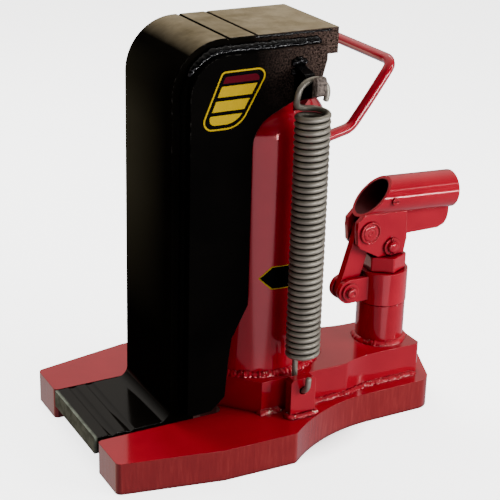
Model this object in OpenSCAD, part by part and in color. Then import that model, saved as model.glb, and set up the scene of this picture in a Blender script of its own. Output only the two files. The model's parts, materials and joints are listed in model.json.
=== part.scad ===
// Hydraulic toe jack: a lifting claw with a toe and a top plate, raised by a ram
// standing on a forked base, with a hand pump that swivels beside the cylinder.
// Millimetres, +Z up, +X towards the toe, +Y to the pump side.
// The origin is on the floor under the ram's centre line.

/* [Overall] */
// Height of the claw's top face above the floor with the ram down
jack_height = 325; // [318:1:336]
// Stroke of the ram
lift_stroke = 140; // [100:5:150]
// Facets on round parts
facets = 72; // [48:8:96]

/* [Base plate] */
// Thickness of the base plate
base_thick = 26; // [22:0.5:28]
// Ram axis to the front of the prongs
prong_reach = 154; // [148:1:162]
// Half of the clear slot between the prongs
slot_half = 44.5; // [44:0.5:47]
// Half width over the prong tips
prong_tip_half = 82.5; // [76:0.5:88]
// Ram axis to the bend in the prong's outer edge
prong_bend_reach = 73; // [60:1:90]
// Half width at the bend in the prong's outer edge
prong_bend_half = 98.5; // [94:0.5:99]
// Half width at the widest corner of the base
base_half = 100; // [99:0.5:106]
// Ram axis to the widest corner of the base
base_corner_reach = 12; // [4:1:20]
// Near edge of the tail from the centre line
tail_near = 69; // [66:0.5:74]
// Far edge of the tail from the centre line
tail_far = 15; // [10:1:24]
// Behind the ram axis, the corner in the far flank
far_flank_reach = 38; // [34:1:46]
// Half width at the corner in the far flank
far_flank_half = 72; // [70:1:78]
// Ram axis to the rear end of the base
tail_reach = 150; // [145:1:160]
// Length of the near slanted rear corner
tail_slant = 16; // [10:1:22]
// Corner radius at the prong tips' outer edges
prong_corner = 5; // [2:0.5:8]
// Corner radius at the prong tips' inner edges
prong_inner_corner = 4; // [2:0.5:6]
// Corner radius at the base's widest corner
base_corner = 9; // [4:0.5:14]
// Corner radius at the near rear corner
tail_corner = 14; // [8:0.5:16]
// Start of the near hollow edge behind the ram axis
near_sweep_start = 74; // [66:1:86]
// Start of the far hollow edge behind the ram axis
far_sweep_start = 125; // [114:1:128]
// Radius in the inner corners of the slot
slot_corner = 7; // [3:0.5:9]

/* [Block] */
// Height of the block above the base plate
block_height = 27.5; // [26:0.5:30]
// Half width of the block beside the cylinder
block_half = 61.5; // [60:0.5:64]
// Ram axis to the block's front face
block_front = 56; // [55.5:0.5:58]
// Half width of the block's front face
block_nose_half = 22.5; // [20:0.5:26]
// Ram axis to the front shoulder of the block
block_shoulder = 22.5; // [18:0.5:26]
// Ram axis to the step behind the cylinder
block_step = 54.5; // [54:0.5:58]
// Ram axis to the rear face of the block
block_rear = 130; // [129:0.5:136]
// Half width of the block under the pump
pump_bar_half = 28.5; // [26:0.5:30]
// Small corner cut at the rear of the block
block_corner_cut = 2.5; // [1:0.5:5]
// Leg of the weld round the block's foot
block_weld = 5; // [3:0.5:6]

/* [Cylinder] */
// Outside diameter of the tank round the cylinder
tank_diameter = 106; // [103:0.5:107]
// Wall of the tank
tank_wall = 5; // [4:0.5:6]
// Gap between the gland and the top plate with the ram down
head_gap = 26; // [20:1:30]
// Radius of the tank's rounded shoulder
shoulder_radius = 24; // [20:0.5:25]
// Bore of the pressure cylinder
cylinder_bore = 60; // [56:1:62]
// Wall of the pressure cylinder
cylinder_wall = 10; // [8:0.5:11]
// Diameter of the ram
ram_diameter = 50; // [44:1:52]
// Length of the ram's piston
piston_length = 25; // [18:1:30]
// Depth of the piston's seal
seal_depth = 5; // [4:0.5:6]
// Height of the piston's seal
seal_height = 7; // [5:0.5:9]
// Diameter of the gland boss on top of the tank
gland_diameter = 72; // [68:1:74]
// Height of the gland boss above the tank
gland_rise = 8; // [5:0.5:10]
// Leg of the weld round the tank's foot
tank_weld = 4; // [2.5:0.5:4.5]
// Distance of the filler hole below the start of the tank's rounded shoulder
filler_drop = 33; // [22:1:55]
// Turn of the filler plug round the tank in degrees
filler_turn = 205; // [150:5:215]
// Running clearance of a moving round part, on radius
running_fit = 0.05; // [0.03:0.01:0.08]

/* [Claw] */
// Thickness of the claw plate
plate_thick = 20; // [17:0.5:22]
// Half width of the claw plate
plate_half = 41.5; // [39:0.5:42]
// Ram axis to the front face of the claw
plate_front = 92; // [90:0.5:96]
// Ram axis to the rear edge of the top plate
plate_rear = 44.5; // [36:0.5:48]
// Outside radius of the bend
bend_radius = 40; // [34:0.5:44]
// Ram axis to the tip of the toe
toe_reach = 155; // [148:1:162]
// Height of the toe's top face above the floor
toe_top = 27.3; // [26.5:0.1:30]
// Thickness of the toe
toe_thick = 14; // [11:0.5:16]
// Fillet between the toe and the claw's front
toe_fillet = 9; // [5:0.5:12]
// Ram axis to the front groove across the top
groove_front = 48; // [42:0.5:50]
// Ram axis to the rear groove across the top
groove_rear = 24.8; // [18:0.2:32]
// Width of the grooves across the top
groove_width = 3; // [2:0.2:4]
// Tip of the toe to the middle of its first hollow
toe_hollow_first = 15; // [12:0.5:17]
// Spacing of the hollows across the toe
toe_hollow_pitch = 14.5; // [11:0.5:17]
// Width of each hollow across the toe
toe_hollow_width = 8; // [5:0.5:10]

// Half width of the guide pad behind the claw's front plate
pad_half = 32; // [26:0.5:36]
// Height of the guide pad
pad_height = 52; // [40:1:70]
// Gap under the guide pad above the block
pad_gap = 6.5; // [6:0.5:10]
// Width of the seat ring round the ram's head
seat_ring = 8; // [5:0.5:10]
// Height of the seat ring round the ram's head
seat_ring_height = 9; // [6:0.5:12]

/* [Side webs] */
// Thickness of each side web
web_thick = 10; // [7:0.5:11]
// Set back of the webs from the claw's outer faces
web_setback = 10; // [7:0.5:13]
// Ram axis to the rear edge of the webs
web_rear = 31.5; // [28:0.5:35]
// Height where the webs' rear edge starts to slope forward
web_knee = 118; // [105:1:130]
// Height of the foot of the webs
web_foot = 36; // [32:0.5:40]
// Behind the ram axis, the upper rear corner of the webs
web_tail = 29.5; // [26:0.5:33]
// Lower rear corner of the webs below the claw's top
web_tail_drop = 39; // [35:1:43]
// Slope of the lower edge of the webs' rear arms in degrees
web_arm_slope = 25; // [20:1:28]
// Inside radius under the webs' rear arms
web_fillet = 28; // [18:1:30]
// Gap between the webs and the tank
web_gap = 1.2; // [0.8:0.1:1.6]
// Size of the weld between web and plate
web_weld = 4; // [2.5:0.5:5]

/* [Springs] */
// Outside diameter of the return springs
spring_diameter = 27; // [24:0.5:29]
// Wire of the return springs
spring_wire = 4.8; // [4:0.1:5.2]
// Half spacing of the springs across the jack
spring_half = 73.5; // [72:0.5:76]
// Behind the ram axis, the springs' centre line
spring_back = 5.5; // [3:0.5:8]
// Height of the lowest coil above the floor
coil_low = 77; // [74:1:84]
// Width of the spring tabs
tab_width = 22; // [18:0.5:26]
// Thickness of the spring tabs
tab_thick = 8; // [6:0.5:9]
// Height of the spring tabs above the base
tab_height = 32.5; // [30:0.5:38]
// Hole in the spring tabs above the base
tab_hole_height = 22.3; // [21:0.1:24]
// Thickness of the spring lugs
lug_thick = 8; // [6:0.5:10]
// Outer end of the spring lugs from the centre line
lug_reach = 84; // [82:0.5:88]
// Spring seat below the claw's top
seat_drop = 30.5; // [27:0.5:34]
// Depth of the lugs' root below the spring seat
lug_root = 26.5; // [20:0.5:28]
// Depth of the lugs' outer end below the spring seat
lug_end = 7.5; // [6:0.5:10]
// Rise of the lugs' nose above the spring seat
lug_nose = 6; // [4:0.5:8]

// Depth of the grooves between the springs' turns
coil_groove = 1.7; // [1:0.1:2]

/* [Carrying handle] */
// Diameter of the carrying handle's rod
handle_rod = 8.5; // [7:0.5:10]
// Half spacing of the handle's arms
handle_half = 44; // [40:0.5:46]
// Handle's foot below the start of the tank's shoulder
handle_foot_drop = 8; // [5:1:14]
// Behind the ram axis, the handle's foot in the tank's side
handle_foot_back = 29; // [27:0.5:33]
// Rise of the handle's foot to its lower bend
handle_bend_rise = 7; // [4:1:12]
// Behind the ram axis, the handle's lower bend
handle_bend_back = 57; // [54:1:62]
// Rise of the handle's arms from the lower bend to the grip
grip_rise = 48.5; // [42:0.5:56]
// Behind the ram axis, the grip
grip_back = 92; // [84:1:98]
// Bend radius at the ends of the grip
grip_bend = 12; // [9:0.5:16]

/* [Pump] */
// Behind the ram axis, the pump's centre line
pump_back = 107.5; // [106:0.5:109]
// Pump's centre line from the jack's centre line
pump_side = 27; // [25:0.5:28]
// Outside diameter of the pump barrel
barrel_diameter = 40; // [38:0.5:42]
// Height of the barrel's shoulder above the floor
barrel_top = 88; // [84:0.5:90]
// Diameter of the barrel's neck
neck_diameter = 28; // [25:0.5:29]
// Height of the swivel collar
collar_height = 28.2; // [26:0.1:30]
// Outside diameter of the swivel collar
collar_diameter = 41; // [39:0.5:42]
// Height of the gland nut
nut_height = 12.6; // [11:0.1:12.8]
// Size across the flats of the gland nut
nut_flats = 32; // [30:0.5:33]
// Turn of the gland nut's flats
nut_turn = 25; // [0:1:59]
// Diameter of the pump plunger
plunger_diameter = 10; // [9:0.2:10.4]
// Radius of the eye on top of the plunger
plunger_eye = 7.2; // [6.8:0.1:7.4]
// Leg of the weld round the pump's foot
pump_weld = 4; // [2.5:0.5:5]

/* [Pump head] */
// Diameter of the linkage pins
pin_diameter = 9; // [8:0.5:10]
// Pump axis forward to the lower link pin
ear_pin_reach = 36; // [34:0.5:38]
// Height of the lower link pin above the collar's foot
ear_pin_rise = 13.9; // [13:0.1:15]
// Radius of the ears' rounded ends
ear_radius = 10.3; // [9.5:0.1:11]
// Width over the pair of ears
ear_width = 16; // [15:0.2:18]
// Thickness of the link
link_thick = 6.6; // [5:0.2:7.4]
// Width of the link
link_width = 16.5; // [15:0.5:18]
// Height of the plunger pin above the gland nut
plunger_pin_rise = 8.1; // [7.8:0.1:9]
// Pump axis forward to the upper link pin
link_pin_reach = 21.2; // [20:0.2:23]
// Upper link pin above the plunger pin
link_pin_rise = 15; // [14:0.2:17]
// Slack round the upper link pin, on radius
link_slack = 0.9; // [0.8:0.05:1]
// Width over the socket's cheeks
cheek_width = 20; // [18:0.5:21]
// Clear gap between the socket's cheeks
cheek_gap = 11; // [10:0.2:12]
// Side play between linkage parts
side_play = 0.3; // [0.2:0.05:0.4]

/* [Lever socket] */
// Outside diameter of the lever socket
socket_outside = 31; // [29.5:0.5:33]
// Bore of the lever socket
socket_bore = 25.5; // [24:0.5:27]
// Height of the socket's centre line above the plunger pin
socket_rise = 41.3; // [40:0.1:43]
// Pump axis back to the rear end of the socket
socket_tail = 60.5; // [54:0.5:64]
// Pump axis forward to the socket's lower lip
socket_lip = 31.5; // [28:0.5:33]
// Droop of the socket towards its rear end in degrees
socket_droop = 3; // [0:0.5:5]
// Set-back of the rib's faces behind the cheeks' inner faces
rib_setback = 3; // [0:0.5:5]
// Depth of the rib below the socket
rib_low = 5.2; // [3:0.2:9]

/* [Release valve] */
// Behind the ram axis, the release screw
release_back = 88; // [84:0.5:92]
// Height of the oil gallery and the release screw
gallery_height = 38; // [36:0.5:39]
// Length of the delivery valve's spring
delivery_length = 16; // [12:0.5:18]
// Radius of the relief plug's head
relief_head = 7; // [6:0.25:7.5]
// Diameter of the release screw
release_diameter = 10; // [8:0.5:11]
// Diameter of the release screw's head
release_head = 14; // [12:0.5:15]
// Length of the release screw's head
release_head_length = 11; // [8:0.5:14]

/* [Hidden] */
$fn = facets;
tank_r = tank_diameter / 2;
block_top = base_thick + block_height;
sweep_dx = base_corner_reach + near_sweep_start;
sweep_dy = base_half - tail_near;
sweep_r = (sweep_dx * sweep_dx + sweep_dy * sweep_dy) / (2 * sweep_dy);
tail_near_corner = [-tail_reach + tail_slant + 1.4, tail_near];
tail_far_corner = [-tail_reach + tail_slant + 1.4, -tail_far];
plate_low = jack_height - plate_thick;
plate_back = plate_front - plate_thick;
bend_x = plate_front - bend_radius;
bend_z = jack_height - bend_radius;
dome_x = tank_r - shoulder_radius;
gland_top = plate_low - head_gap;
tank_top = gland_top - gland_rise;
shoulder_start = tank_top - shoulder_radius;
filler_z = shoulder_start - filler_drop;
handle_foot_height = shoulder_start - handle_foot_drop;
handle_bend_height = handle_foot_height + handle_bend_rise;
grip_height = handle_bend_height + grip_rise;
web_tail_low = jack_height - web_tail_drop;
cyl_r = cylinder_bore / 2;
cyl_out = cyl_r + cylinder_wall;
cyl_low = base_thick + 18;
cyl_high = tank_top - 9;
ram_low = base_thick + 11;
stop_z = ram_low + piston_length + lift_stroke + 0.5;
spring_r = spring_diameter / 2 - spring_wire / 2;
tab_hole_z = base_thick + tab_hole_height;
hook_r = spring_r - 0.6;
hook_z = tab_hole_z - 0.7 + hook_r;
seat_z = jack_height - seat_drop;
eye_z = seat_z + spring_wire / 2 - spring_r;
coil_high = eye_z - spring_r;
coil_turns = floor((coil_high - coil_low) / (spring_wire * 1.06));
coil_pitch = (coil_high - coil_low) / coil_turns;
barrel_r = barrel_diameter / 2;
neck_r = neck_diameter / 2;
collar_low = barrel_top + side_play;
collar_high = barrel_top + collar_height;
nut_low = collar_high + side_play;
nut_high = nut_low + nut_height;
ear_pin_height = collar_low + ear_pin_rise;
plunger_pin_height = nut_high + plunger_pin_rise;
plunger_r = plunger_diameter / 2;
pin_r = pin_diameter / 2;
px = -pump_back;
py = pump_side;
ear_x = px + ear_pin_reach;
up_x = px + link_pin_reach;
up_z = plunger_pin_height + link_pin_rise;
link_length = sqrt(pow(up_x - ear_x, 2) + pow(up_z - ear_pin_height, 2));
link_lean = atan2(ear_x - up_x, up_z - ear_pin_height);
link_slot = link_thick + 2 * side_play;
eye_width = cheek_gap - 2 * side_play;
tube_z = plunger_pin_height + socket_rise;
cut_sum = px + socket_lip + tube_z - socket_outside / 2;
red = [0.72, 0.07, 0.09];
black = [0.16, 0.15, 0.14];
steel = [0.62, 0.62, 0.60];
dark = [0.30, 0.30, 0.31];
rubber = [0.08, 0.08, 0.08];

// Which sub-part to show

// ---- helpers ----
module along_y(x, y0, y1, z, r) {
  translate([x, y0, z])
    rotate([-90, 0, 0])
      cylinder(h = y1 - y0, r = r);
}

module ring_y(x, y0, y1, z, ro, ri) {
  difference() {
    along_y(x, y0, y1, z, ro);
    along_y(x, y0 - 1, y1 + 1, z, ri);
  }
}

module side_plate(y0, y1) {
  translate([0, y1, 0])
    rotate([90, 0, 0])
      linear_extrude(height = y1 - y0)
        children();
}

module both_sides(s) {
  if (s > 0)
    children();
  else
    mirror([0, 1, 0])
      children();
}

// trims an outline's corner c, between points a and b, to radius r
module corner_trim(c, a, b, r, ease = 0.03) {
  u = (a - c) / norm(a - c);
  v = (b - c) / norm(b - c);
  h = acos(u * v) / 2;
  m = c + (u + v) / norm(u + v) * r / sin(h);
  difference() {
    polygon([
      m,
      m + 1.2 * (c + u * r / tan(h) - m),
      m + 1.3 * (c - m),
      m + 1.2 * (c + v * r / tan(h) - m)
    ]);
    translate(m)
      circle(r = r + ease);
  }
}

// hollow edge from a corner (cx, cy) to a straight edge at ty, meeting it at tx
module hollow(cx, cy, tx, ty) {
  dx = cx - tx;
  dy = abs(cy - ty);
  rr = (dx * dx + dy * dy) / (2 * dy);
  s = cy > ty ? 1 : -1;
  difference() {
    translate([tx, s > 0 ? ty - 2 : cy])
      square([dx, dy + 2]);
    translate([tx, ty + s * rr])
      circle(r = rr, $fn = 180);
  }
}

module base_outline() {
  difference() {
    union() {
      polygon([
        [prong_reach, -prong_tip_half],
        [prong_reach, prong_tip_half],
        [prong_bend_reach, prong_bend_half],
        [base_corner_reach, base_half],
        [base_corner_reach, -base_half],
        [prong_bend_reach, -prong_bend_half]
      ]);
      polygon([
        [base_corner_reach + 1, tail_near],
        tail_near_corner,
        [-tail_reach + 2, py + 4.5],
        [-tail_reach, py],
        [-tail_reach + 2, py - 4.5],
        tail_far_corner,
        [-far_flank_reach, -tail_far],
        [-far_flank_reach, -far_flank_half],
        [base_corner_reach + 1, -base_half]
      ]);
      hollow(base_corner_reach, base_half, -near_sweep_start, tail_near);
      hollow(-far_flank_reach, -far_flank_half, -far_sweep_start, -tail_far);
    }
    slot_outline();
    for (s = [-1, 1]) {
      corner_trim([prong_reach, s * prong_tip_half], [prong_reach, 0],
        [prong_bend_reach, s * prong_bend_half], prong_corner);
      corner_trim([prong_reach, s * slot_half], [prong_reach, s * prong_tip_half],
        [0, s * slot_half], prong_inner_corner);
    }
    corner_trim([base_corner_reach, base_half], [prong_bend_reach, prong_bend_half],
      [base_corner_reach - sweep_r + sweep_dy, base_half - sweep_dx],
      base_corner, 0.12);
    corner_trim(tail_near_corner, [0, tail_near], [-tail_reach + 2, py + 4.5], tail_corner);
    corner_trim(tail_far_corner, [-tail_reach + 2, py - 4.5], [0, -tail_far], tail_corner * 0.6);
  }
}

module slot_outline() {
  s0 = block_front - 8.5;
  difference() {
    union() {
      translate([s0 + slot_corner, -slot_half])
        square([prong_reach, 2 * slot_half]);
      translate([s0, -slot_half + slot_corner])
        square([prong_reach, 2 * (slot_half - slot_corner)]);
      for (s = [-1, 1])
        translate([s0 + slot_corner, s * (slot_half - slot_corner)])
          circle(r = slot_corner);
    }
    polygon([
      [s0 - 1, -slot_half + 11],
      [s0, -slot_half + 11],
      [block_front + 0.5, -block_nose_half],
      [block_front + 0.5, block_nose_half],
      [s0, slot_half - 11],
      [s0 - 1, slot_half - 11]
    ]);
  }
}

module block_outline() {
  y1 = py + pump_bar_half;
  y0 = py - pump_bar_half;
  c = block_corner_cut;
  union() {
    polygon([
      [block_front, -block_nose_half],
      [block_front, block_nose_half],
      [block_shoulder, block_half],
      [-block_step, block_half],
      [-block_step, -block_half + 23.5],
      [-block_step + 23.5, -block_half],
      [block_shoulder, -block_half]
    ]);
    polygon([
      [-block_step + 1, y1],
      [-block_rear + c, y1],
      [-block_rear, y1 - c],
      [-block_rear, y0 + c],
      [-block_rear + c, y0],
      [-block_step + 1, y0]
    ]);
    hollow(-block_step, block_half, -block_step - 30.5, y1);
    hollow(-block_step, y0 - 9, -block_step - 45.5, y0);
  }
}

module tank_envelope(g) {
  translate([0, 0, -200])
    cylinder(h = shoulder_start + 200, r = tank_r + g);
  translate([0, 0, shoulder_start])
    rotate_extrude()
      intersection() {
        union() {
          translate([dome_x, 0])
            circle(r = shoulder_radius + g);
          square([dome_x, shoulder_radius + g]);
        }
        square([tank_r + g + 1, shoulder_radius + g + 1]);
      }
}

module bead_ring(r, leg, z) {
  translate([0, 0, z])
    rotate_extrude()
      polygon([
        [r, 0],
        [r + leg, 0],
        [r + leg * 0.72, leg * 0.72],
        [r, leg * 1.25]
      ]);
}

// ---- base ----
module base_plate() {
  color(red)
    linear_extrude(height = base_thick)
      base_outline();
}

module block() {
  color(red)
    difference() {
      translate([0, 0, base_thick])
        linear_extrude(height = block_height)
          block_outline();
      translate([0, 0, cyl_low])
        cylinder(h = 60, r = cyl_out);
      translate([0, 0, ram_low - 4])
        cylinder(h = 60, r = cyl_r);
      translate([px, py, gallery_height - 5])
        cylinder(h = 60, r = 4);
      translate([-block_rear - 1, py, gallery_height])
        rotate([0, 90, 0])
          cylinder(h = block_rear - 10, r = 3);
      translate([-block_rear - 1, py, gallery_height])
        rotate([0, 90, 0])
          cylinder(h = 11, r = 5);
      translate([-block_rear - 1, py - 19, gallery_height + 1])
        rotate([0, 90, 0])
          cylinder(h = 19, r = 5);
      translate([-release_back, py - pump_bar_half - 20, gallery_height])
        rotate([-90, 0, 0])
          cylinder(h = 40, r = release_diameter / 2 + running_fit);
      translate([-release_back, py - 12, gallery_height])
        rotate([-90, 0, 0])
          cylinder(h = 12, r = 2);
      along_y(-release_back, py - pump_bar_half - 20, py - pump_bar_half - 0.6,
        gallery_height, release_head / 2 + 0.8);
    }
}

module block_bead() {
  color(red)
    translate([0, 0, base_thick])
      intersection() {
        difference() {
          union() {
            linear_extrude(height = block_weld * 0.5)
              offset(delta = block_weld)
                block_outline();
            linear_extrude(height = block_weld)
              offset(delta = block_weld * 0.6)
                block_outline();
          }
          translate([0, 0, -1])
            linear_extrude(height = block_weld + 2)
              block_outline();
          translate([-release_back - 9, -60, -1])
            cube([18, 70, 20]);
        }
        translate([-block_rear - 10, -100, 0])
          cube([block_rear + 10 + block_shoulder, 200, 20]);
      }
}

module tank() {
  color(red)
    difference() {
      translate([0, 0, block_top])
        cylinder(h = shoulder_start - block_top, r = tank_r);
      translate([0, 0, block_top - 1])
        cylinder(h = 300, r = tank_r - tank_wall);
      filler_way(tank_r - tank_wall - 3, tank_r + 3, 5);
    }
  color(red)
    translate([0, 0, shoulder_start])
      rotate_extrude()
        difference() {
          intersection() {
            union() {
              translate([dome_x, 0])
                circle(r = shoulder_radius);
              square([dome_x, shoulder_radius]);
            }
            square([tank_r + 1, shoulder_radius + 1]);
          }
          union() {
            intersection() {
              translate([dome_x, 0])
                circle(r = shoulder_radius - tank_wall);
              translate([0, -50])
                square([200, 200]);
            }
            translate([0, -1])
              square([dome_x, shoulder_radius - tank_wall + 1]);
            square([gland_diameter / 2, 100]);
          }
        }
}

module tank_bead() {
  color(red)
    intersection() {
      bead_ring(tank_r, tank_weld, block_top);
      translate([0, 0, block_top - 1])
        linear_extrude(height = 20)
          block_outline();
    }
}

module cylinder_tube() {
  color(steel)
    translate([0, 0, cyl_low])
      difference() {
        cylinder(h = cyl_high - cyl_low, r = cyl_out);
        translate([0, 0, -1])
          cylinder(h = cyl_high, r = cyl_r);
      }
}

module gland() {
  color(dark)
    difference() {
      union() {
        translate([0, 0, stop_z])
          cylinder(h = cyl_high - stop_z + 1, r = cyl_r);
        translate([0, 0, cyl_high])
          cylinder(h = gland_top - cyl_high, r = gland_diameter / 2);
      }
      translate([0, 0, stop_z - 1])
        cylinder(h = 200, r = ram_diameter / 2 + running_fit);
      translate([0, 0, gland_top - 5])
        cylinder(h = 20, r = ram_diameter / 2 + 4);
    }
}

module gland_wiper() {
  color(rubber)
    translate([0, 0, gland_top - 5])
      difference() {
        cylinder(h = 4.5, r = ram_diameter / 2 + 4);
        translate([0, 0, -1])
          cylinder(h = 10, r = ram_diameter / 2 + running_fit);
      }
}

module filler_way(x0, x1, r) {
  translate([0, 0, filler_z])
    rotate([0, 0, filler_turn])
      rotate([0, 90, 0])
        translate([0, 0, x0])
          cylinder(h = x1 - x0, r = r);
}

module filler_plug() {
  color(dark) {
    filler_way(tank_r - tank_wall, tank_r + 1, 5);
    translate([0, 0, filler_z])
      rotate([0, 0, filler_turn])
        rotate([0, 90, 0])
          translate([0, 0, tank_r + 0.5])
            cylinder(h = 5, r = 8, $fn = 6);
  }
}

module spring_tab(s) {
  w = tab_width;
  h = tab_height;
  color(red)
    both_sides(s)
      difference() {
        side_plate(spring_half - tab_thick / 2, spring_half + tab_thick / 2)
          translate([-spring_back, base_thick])
            polygon([
              [-w / 2, 0],
              [w / 2, 0],
              [w / 2, h - 2],
              [w / 2 - 2, h],
              [-w / 2 + 2, h],
              [-w / 2, h - 2]
            ]);
        along_y(-spring_back, 0, 200, tab_hole_z, spring_wire / 2 + 1.1);
      }
}

module tab_bead(s) {
  w = tab_width;
  t = tab_thick;
  color(red)
    both_sides(s)
      translate([-spring_back, spring_half, base_thick])
        difference() {
          union() {
            translate([-w / 2 - 3, -t / 2 - 3, 0])
              cube([w + 6, t + 6, 2]);
            translate([-w / 2 - 1.8, -t / 2 - 1.8, 0])
              cube([w + 3.6, t + 3.6, 3.4]);
          }
          translate([-w / 2, -t / 2, -1])
            cube([w, t, 20]);
        }
}

module rod(a, b, r) {
  v = b - a;
  l = norm(v);
  translate(a)
    rotate([0, acos(v[2] / l), atan2(v[1], v[0])])
      cylinder(h = l, r = r);
}

module carry_handle() {
  r = handle_rod / 2;
  q = grip_bend;
  foot = [-handle_foot_back, handle_half, handle_foot_height];
  low = [-handle_bend_back, handle_half, handle_bend_height];
  high = [-grip_back, handle_half, grip_height];
  d = (high - low) / norm(high - low);
  path = [
    foot,
    low + 0.6 * (foot - low) / norm(foot - low),
    low + 4 * d,
    high - q * d,
    high - 0.6 * q * d - 0.08 * [0, q, 0],
    high - 0.29 * q * d - 0.29 * [0, q, 0],
    high - 0.08 * q * d - 0.6 * [0, q, 0],
    high - [0, q, 0]
  ];
  color(red)
    difference() {
      union() {
        for (s = [-1, 1])
          both_sides(s)
            for (i = [0:len(path) - 2]) {
              rod(path[i], path[i + 1], r);
              translate(path[i + 1])
                sphere(r = r + 0.12);
            }
        along_y(-grip_back, -handle_half + q, handle_half - q, grip_height, r);
      }
      translate([0, 0, 100])
        cylinder(h = 200, r = tank_r);
    }
}

// ---- pump ----
module pump_barrel() {
  color(red)
    difference() {
      translate([px, py, block_top])
        cylinder(h = barrel_top - block_top, r = barrel_r);
      translate([px, py, block_top + 6])
        cylinder(h = 100, r = plunger_r + running_fit);
      translate([px, py, block_top - 1])
        cylinder(h = 20, r = 4);
    }
  color(steel)
    difference() {
      translate([px, py, barrel_top])
        cylinder(h = nut_high - 3.2 - barrel_top, r = neck_r);
      translate([px, py, block_top + 6])
        cylinder(h = 100, r = plunger_r + running_fit);
      translate([px, py, nut_high - 9])
        cylinder(h = 10, r = plunger_r + 3);
    }
}

module pump_bead() {
  color(red)
    translate([px, py, 0])
      bead_ring(barrel_r, pump_weld, block_top);
}

module gland_nut() {
  color(red)
    translate([px, py, 0])
      difference() {
        translate([0, 0, nut_low])
          rotate([0, 0, nut_turn])
            cylinder(h = nut_height, r = nut_flats / 2 / cos(30), $fn = 6);
        translate([0, 0, nut_low - 1])
          cylinder(h = nut_height - 3.2 + 1, r = neck_r);
        translate([0, 0, nut_low - 1])
          cylinder(h = 40, r = plunger_r + running_fit);
      }
}

module pump_seal() {
  color(rubber)
    translate([px, py, nut_high - 9])
      difference() {
        cylinder(h = 5.8, r = plunger_r + 3);
        translate([0, 0, -1])
          cylinder(h = 10, r = plunger_r + running_fit);
      }
}

module suction_ball() {
  color(steel)
    translate([px, py, gallery_height + 9])
      sphere(r = 3.8);
}

module delivery_ball() {
  color(steel)
    translate([px + 24, py, gallery_height])
      sphere(r = 2.9);
}

module delivery_spring() {
  color(steel)
    translate([px + 27, py, gallery_height])
      rotate([0, 90, 0])
        difference() {
          cylinder(h = delivery_length, r = 2.7);
          translate([0, 0, -1])
            cylinder(h = delivery_length + 2, r = 1.7);
        }
}

module gallery_plug() {
  color(dark)
    translate([-block_rear - 1.2, py, gallery_height])
      rotate([0, 90, 0])
        difference() {
          cylinder(h = 11.2, r = 5);
          translate([0, 0, -1])
            cylinder(h = 4, r = 2.6, $fn = 6);
        }
}

module relief_plug() {
  color(dark)
    translate([-block_rear - 3, py - 19, gallery_height + 1])
      rotate([0, 90, 0])
        difference() {
          union() {
            cylinder(h = 3, r = relief_head);
            cylinder(h = 19, r = 5);
          }
          translate([-0.9, -relief_head - 1, -1])
            cube([1.8, 2 * relief_head + 2, 2.6]);
        }
}

module release_ball() {
  color(steel)
    translate([-release_back, py - 6.4, gallery_height])
      sphere(r = 1.9);
}

// ---- return springs ----
module return_spring(s) {
  w = spring_wire / 2;
  x = -spring_back;
  color(steel)
    both_sides(s) {
      translate([x, spring_half, coil_low])
        rotate_extrude()
          polygon(concat(
            [[spring_r - w, 0]],
            [for (i = [0:coil_turns - 1], j = [0:2])
              [spring_r + w - (j == 0 ? coil_groove : 0), (i + j * 0.34) * coil_pitch]],
            [
              [spring_r + w - coil_groove, coil_high - coil_low],
              [spring_r - w, coil_high - coil_low]
            ]
          ));
      translate([x, spring_half, eye_z])
        rotate([90, 0, 0])
          rotate([0, 0, -90])
            rotate_extrude(angle = 284)
              translate([spring_r, 0])
                circle(r = w, $fn = 24);
      along_y(x, spring_half - spring_r, spring_half + 0.6, coil_high, w - 0.35);
      translate([x, spring_half, hook_z])
        rotate([90, 0, 90])
          rotate([0, 0, 180])
            rotate_extrude(angle = 180)
              translate([hook_r, 0])
                circle(r = w, $fn = 24);
      translate([x, spring_half - hook_r, hook_z])
        cylinder(h = coil_low - hook_z + 1, r = w, $fn = 24);
      translate([x, spring_half + hook_r, hook_z])
        cylinder(h = 2.5, r = w, $fn = 24);
    }
}

// ---- claw ----
module claw_profile() {
  // top plate
  translate([-plate_rear, plate_low])
    square([bend_x + plate_rear, plate_thick]);
  // front plate
  translate([plate_back, toe_top - toe_thick + 8])
    square([plate_thick, bend_z - toe_top + toe_thick - 8]);
  // bend
  translate([bend_x, bend_z])
    intersection() {
      difference() {
        circle(r = bend_radius);
        circle(r = bend_radius - plate_thick);
      }
      square([bend_radius + 1, bend_radius + 1]);
    }
  // heel and toe
  polygon([
    [plate_back, toe_top - toe_thick + 8],
    [plate_back + 8, toe_top - toe_thick],
    [toe_reach, toe_top - toe_thick],
    [toe_reach, toe_top],
    [plate_back, toe_top]
  ]);
  difference() {
    translate([plate_front, toe_top])
      square([toe_fillet, toe_fillet]);
    translate([plate_front + toe_fillet, toe_top + toe_fillet])
      circle(r = toe_fillet);
  }
}

module claw_plate() {
  hr = 7;
  hd = sqrt(hr * hr - pow(toe_hollow_width / 2, 2));
  color(black)
    difference() {
      side_plate(-plate_half, plate_half)
        claw_profile();
      for (x = [groove_front, groove_rear])
        translate([x, -100, jack_height])
          rotate([0, 45, 0])
            translate([-groove_width / 2.83, 0, -groove_width / 2.83])
              cube([groove_width / 1.414, 200, groove_width / 1.414]);
      for (i = [0, 1])
        along_y(toe_reach - toe_hollow_first - i * toe_hollow_pitch, -100, 100,
          toe_top + hd, hr);
    }
}

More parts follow.
